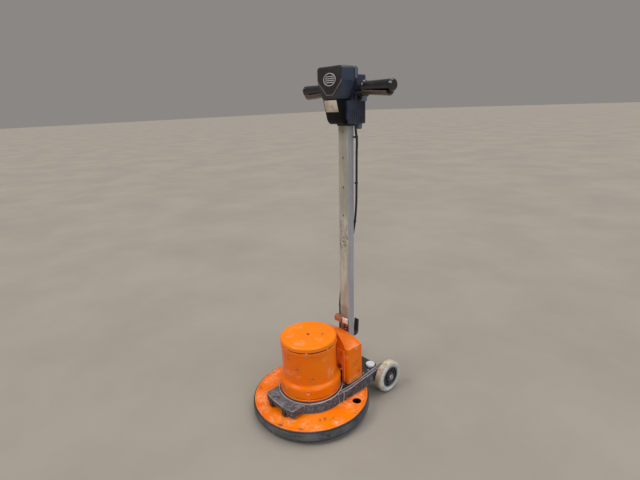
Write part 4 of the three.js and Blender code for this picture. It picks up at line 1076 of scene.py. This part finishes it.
def shield(inset, corner=3.0):
    return mirrored(
        [
            (35 - inset, 981.3 + inset, corner), (49.6 - inset, 1013, 20), (58.6 - inset, 1038, 14),
            (58.6 - inset, 1074, 3), (51.6 - inset, 1081 - inset, 5),
        ]
    )


def make_head():
    front = soften(prism("head_front_surface", shield(0), -73.6, -20.6, "Y"), 1.8, 3, 40)
    up_piece(front, HEAD_FRONT, ["head_front_cover"])

    # The badge panel: a black field with a thin pale line along its lower sides.
    corners = [(13.6, 994.4, 4), (53.4, 1035, 8), (53.4, 1070, 4), (48, 1076.4, 4)]
    panel = soften(prism("badge_panel", mirrored(corners), -74.1, -72, "Y"), 0.4, 2, 60)
    up_piece(panel, BADGE_PANEL)
    run = [(-54.4, 1040), (-54.4, 1034.6), (-14.2, 993.2), (14.2, 993.2), (54.4, 1034.6), (54.4, 1040)]
    inner = [(-53.1, 1040), (-53.1, 1035.2), (-13.6, 994.6), (13.6, 994.6), (53.1, 1035.2), (53.1, 1040)]
    up_piece(prism("badge_line", [*run, *inner[::-1]], -74.5, -73, "Y"), BADGE_LINE)

    # A blank oval badge: a bright rim round plain bars.
    turns = [2 * math.pi * k / 64 for k in range(64)]
    oval = [(1 + 28.5 * math.cos(a), 1041 + 20 * math.sin(a)) for a in turns]
    field = [(1 + 25.5 * math.cos(a), 1041 + 17 * math.sin(a)) for a in turns]
    emblem = cut(prism("blank_emblem", oval, -75.6, -73.9, "Y"), prism("field", field, -78, -70, "Y"))
    bars = []
    for rise in (-9, -3, 3, 9):
        reach = 22 * math.sqrt(1 - (rise / 17) ** 2)
        bars.append(block(f"bar{rise}", (1 - reach, 1 + reach), (-75, -73.9), (1039.6 + rise, 1042.4 + rise)))
    emblem = together("blank_emblem", soften(emblem, 0.4, 2, 40), *[soften(bar, 0.3, 2) for bar in bars])
    up_piece(emblem, EMBLEM)

    # The chin, in the darker plastic that paints the shade under the head.
    profile = [(-73.6, 980.7, 1), (-56, 916, 6), (-49, 906.5, 8), (-41, 902, 6), (-20.6, 902, 1), (-20.6, 980.7, 1)]
    chin = soften(prism("head_chin_surface", profile, -33, 33, "X"), 2.2, 3, 40)
    up_piece(chin, CHIN_SHADED, ["head_chin_cover"])
    slope = Vector((73.6 - 56, 916 - 980.7)).normalized()
    spots = ((3, -0.3), (41, -0.3), (41, 0.6), (3, 0.6))
    outline = [(-73.6 + slope.x * a + slope.y * b, 980.7 + slope.y * a - slope.x * b) for a, b in spots]
    up_piece(soften(prism("blank_label", outline, -29.5, 29.5, "X"), 0.25, 2), LABEL)

    # The rear half: a block behind the shield, the switch housing, and the lower block round the column.
    rear = prism("head_rear_surface", shield(0), -19.7, -3, "Y")
    lump = prism("lump", [(-46, 990), (46, 990), (46, 1058), (-46, 1058)], -9, 47, "Y", 6)
    lower = prism("lower", [(-46, 902), (46, 902), (46, 988), (-46, 988)], -19.7, 47, "Y", 4)
    waist = block("waist", (-28, 28), (-19.7, 42), (980, 995))
    side_view = [(-38, 976), (-38, 920), (-26, 902), (-18, 902), (-18, 976)]
    flanks = [prism(f"flank{x}", side_view, x, x + 12.7, "X") for x in (33.3, -46)]
    join(rear, lump, lower, waist, *flanks)
    soften(rear, 1.8, 3, 40)
    spots = [(x, v) for x in (40, -62) for v in (-14, 10)]
    cheeks = [soften(block(f"cheek{x}{v}", (x, x + 22), (v, v + 4), (978, 998)), 1.2) for x, v in spots]
    join(rear, *cheeks)
    cut(
        rear,
        block("column_hole", (-23.5, 23.5), (-16.5, 16.5), (890, 1034)),
        rod("bar_hole", 12.8, -70, 70, "X", (0, 0, BAR_HEIGHT)),
        rod("button_hole", 12.4, 30, 44, "Y", (0, 0, BUTTON_HEIGHT)),
        rod("button_bore", 9.4, 40, 50, "Y", (0, 0, BUTTON_HEIGHT)),
        rod("lead_hole", 4.5, 890, 910, centre=(40, 4, 0)),
        *[rod(f"pin_hole{s}", 3.4, -20, 20, "Y", (s * LEVER_PIVOT[0], 0, LEVER_PIVOT[1])) for s in (1, -1)],
    )
    # The rear cover, in the blue-grey that paints the side light's reflection.
    up_piece(rear, HEAD_REAR_BLUE_REFLECTION, ["head_rear_cover"])

    # Ribs moulded on the sides of the lower block, a ledge above each and a pad higher up in a pale blue that paints
    # the side light's highlight, and the screws that hold the halves.
    ribs = []
    highlight_pieces = []
    for side in (1, -1):
        for v in (-32, -23, -14, -5, 4, 13, 22, 31, 39):
            span = sorted((side * 45, side * 46.9))
            ribs.append(soften(block(f"rib{side}{v}", span, (v, v + 2), (908 if v > -20 else 924, 972)), 0.5, 2))
        span = sorted((side * 40, side * 56))
        highlight_pieces.append(soften(block(f"ledge{side}", span, (18, 45), (974, 989)), 2, 3))
        span = sorted((side * 57, side * 59.4))
        highlight_pieces.append(soften(block(f"pad{side}", span, (-17.5, -5.5), (1044, 1073)), 0.6, 2))
    up_piece(together("head_side_ribs", *ribs), HEAD_REAR_BLUE_REFLECTION)
    up_piece(together("head_side_highlight_pieces", *highlight_pieces), BLUE_HIGHLIGHT)
    spots = [(x, h) for h in (912, 978, 1050) for x in (-38, 38)]
    heads = [placed(screw(f"screw{x}{h}", 3.4, 1.8), shift(x, 47, h) @ turn(-90, "X")) for x, h in spots]
    up_piece(together("head_screws", *heads), BARE_STEEL)


def make_bar():
    ring = [(10.5, -197), (12.5, -197), (12.5, 197), (10.5, 197)]
    bar = lathe("handlebar_surface", ring, 32, 0.4, "X", (0, 0, BAR_HEIGHT))
    up_piece(bar, BLACK_STEEL, ["handlebar"])
    profile = [
        (0, 198), (12.8, 198), (12.8, 84), (21.3, 84, 1.4), (21.3, 88, 1.6), (18.2, 90.5, 1.5), (17.6, 110, 30),
        (18.3, 189, 20), (18.3, 193.4, 0.8), (19.5, 195, 0.8), (19.5, 196.4, 0.8), (18.3, 198, 1), (17.6, 202, 3),
        (14, 204.8, 2.5), (0, 205),
    ]
    for side, word in SIDES:
        facing = turn(0 if side > 0 else 180)
        grip = lathe(f"grip_{word}_surface", profile, 64, 0.6, "X")
        placed(grip, facing)
        up_piece(placed(grip, shift(0, 0, BAR_HEIGHT)), GLOSS_BLACK, [f"grip_{word}"])

        name = f"switch_lever_{word}"
        shell = [*arc((0, 24), 21.5, 200, 340, 30), *arc((0, 24), 19.3, 340, 200, 30)]
        lever = prism(f"{name}_surface", shell, 90, 188, "X")
        tongue = block("tongue", (50, 94), (-8.5, 8.5), (-3, 2.2))
        step = block("step", (90, 96), (-8.5, 8.5), (-1, 4))
        pin = rod("pin", 3, -14.5, 14.5, "Y", (LEVER_PIVOT[0], 0, 0))
        join(soften(lever, 0.9, 3, 40), soften(tongue, 1.2), soften(step, 0.8), pin)
        placed(lever, shift(-LEVER_PIVOT[0], 0, 0))
        place = shift(side * LEVER_PIVOT[0], 0, LEVER_PIVOT[1]) @ turn(side * LEVER_DROP, "Y")
        piece(lever, f"lever_{word}", LEVER_BROWN, [name], UPRIGHT @ place @ facing)

    profile = [(0, 38), (12, 38, 0.5), (12, 41, 0.5), (9, 41), (9, 54, 2), (5, 54.2, 0.6), (4, 53.6, 0.4), (0, 53.6)]
    button = lathe("safety_button_surface", profile, 48, 0.4, "Y", (0, 0, BUTTON_HEIGHT))
    up_piece(button, GLOSS_BLACK, ["safety_button"], "button")


# ---- Leads, glands and clips ----

UPPER_ROUTE = [
    (40, 4, 901), (39, 8, 876), (35, 17, 845), (31, 20, 800), (30, 20.5, 700), (28, 21, 620), (18, 22, 545),
    (2, 22.5, 480), (-14, 22.5, 420), (-28, 20, 360), (-37, 10, 300), (-41, 4, 240), (-42, 3, 160), (-43, 3, 90),
    (-43, 3, 42),
]


def gland(name, radius, tip, base, centre):
    down = 1 if base > tip else -1
    profile = [
        (2.5, tip), (radius - 3.4, tip, 0.6), (radius - 2.4, tip + 3 * down, 0.5),
        (radius - 1, tip + 5 * down, 0.8), (radius - 1, base - 3.4 * down, 0.6),
        (radius, base - 3 * down, 0.5), (radius, base, 0.3), (2.5, base),
    ]
    return lathe(name, profile, 32, 0.2, centre=centre)


def make_leads():
    path = smooth_path(UPPER_ROUTE)
    up_piece(tube("lead_upper_surface", path, 4), LEAD_BLACK, ["motor_lead_upper"])
    end = UPRIGHT @ Vector((-43, 3, 41.7))
    route = [tuple(end), (-43, 199.5, 135), (-43, 201, 115), (-43, 202, 102.3)]
    lower = tube("lead_lower_surface", smooth_path(route, 12), 4)
    piece(lower, None, LEAD_BLACK, ["motor_lead_lower"])
    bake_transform(lower)
    shape = gland("mains_gland_surface", 11, 884, 901.7, (31, 33, 0))
    # Painted highlight: the mains gland in the pale blue of the side light's reflection.
    up_piece(shape, BLUE_HIGHLIGHT, ["mains_gland"])
    shape = gland("plate_gland_surface", 8, 102, 90.3, (-43, 202, 0))
    piece(shape, "chassis", BLACK_PLASTIC, ["plate_gland"])

    clips = []
    for height in (858, 700, 560, 330, 215):
        near = min(path, key=lambda p: abs(p.z - height))
        ring = [(4.1, height - 4), (5, height - 4, 0.5), (5, height + 4, 0.5), (4.1, height + 4)]
        clips.append(lathe(f"ring{height}", ring, 32, 0.1, centre=(near.x, near.y, 0)))
        if abs(near.x) > COLUMN_X:
            span = sorted((near.x + math.copysign(4.4, -near.x), math.copysign(COLUMN_X + 0.1, near.x)))
            tab = block(f"tab{height}", span, (near.y - 3, near.y + 3), (height - 3, height + 3))
            clips.append(soften(tab, 0.6, 2))
    up_piece(together("lead_clips", *clips), BLACK_PLASTIC)

    collar = prism("column_collar_surface", [(-26, -19), (26, -19), (26, 19), (-26, 19)], 895.7, 901.7, "Z", 4)
    soften(collar, 0.9, 2)
    cut(collar, block("inside", (-22.8, 22.8), (-15.8, 15.8), (890, 910)))
    up_piece(collar, BLACK_PLASTIC, ["column_collar"])


# ---- The CAD nodes that stay as they are ----

INTERNAL = {
    ALUMINIUM: "gearbox_housing upper_end_shield capacitor",
    BARE_STEEL: "output_bearing upper_bearing lower_bearing axle",
    GEAR_STEEL: "ring_gear planet_carrier sun_gear planet_gear_1 planet_gear_2 planet_gear_3 rotor_shaft",
    LAMINATED: "stator_core rotor_core",
    COPPER: "winding_upper winding_lower",
    BLACK_PLASTIC: "cooling_fan power_switch",
}


def dress_internals():
    for finish, nodes in INTERNAL.items():
        for node in nodes.split():
            wear_finish(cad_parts[node], finish)


def make_floor():
    floor = build("floor", [(-60, -60, 0), (60, -60, 0), (60, 60, 0), (-60, 60, 0)], [(0, 1, 2, 3)])
    floor.data.materials.append(floor_finish("floor_pale").material)


make_camera()
make_studio()
make_floor()
make_deck()
make_motor()
make_yoke()
make_plate()
make_wheel(1, "left")
make_wheel(-1, "right")
make_box()
make_column()
make_lever()
make_head()
make_bar()
make_leads()
dress_internals()
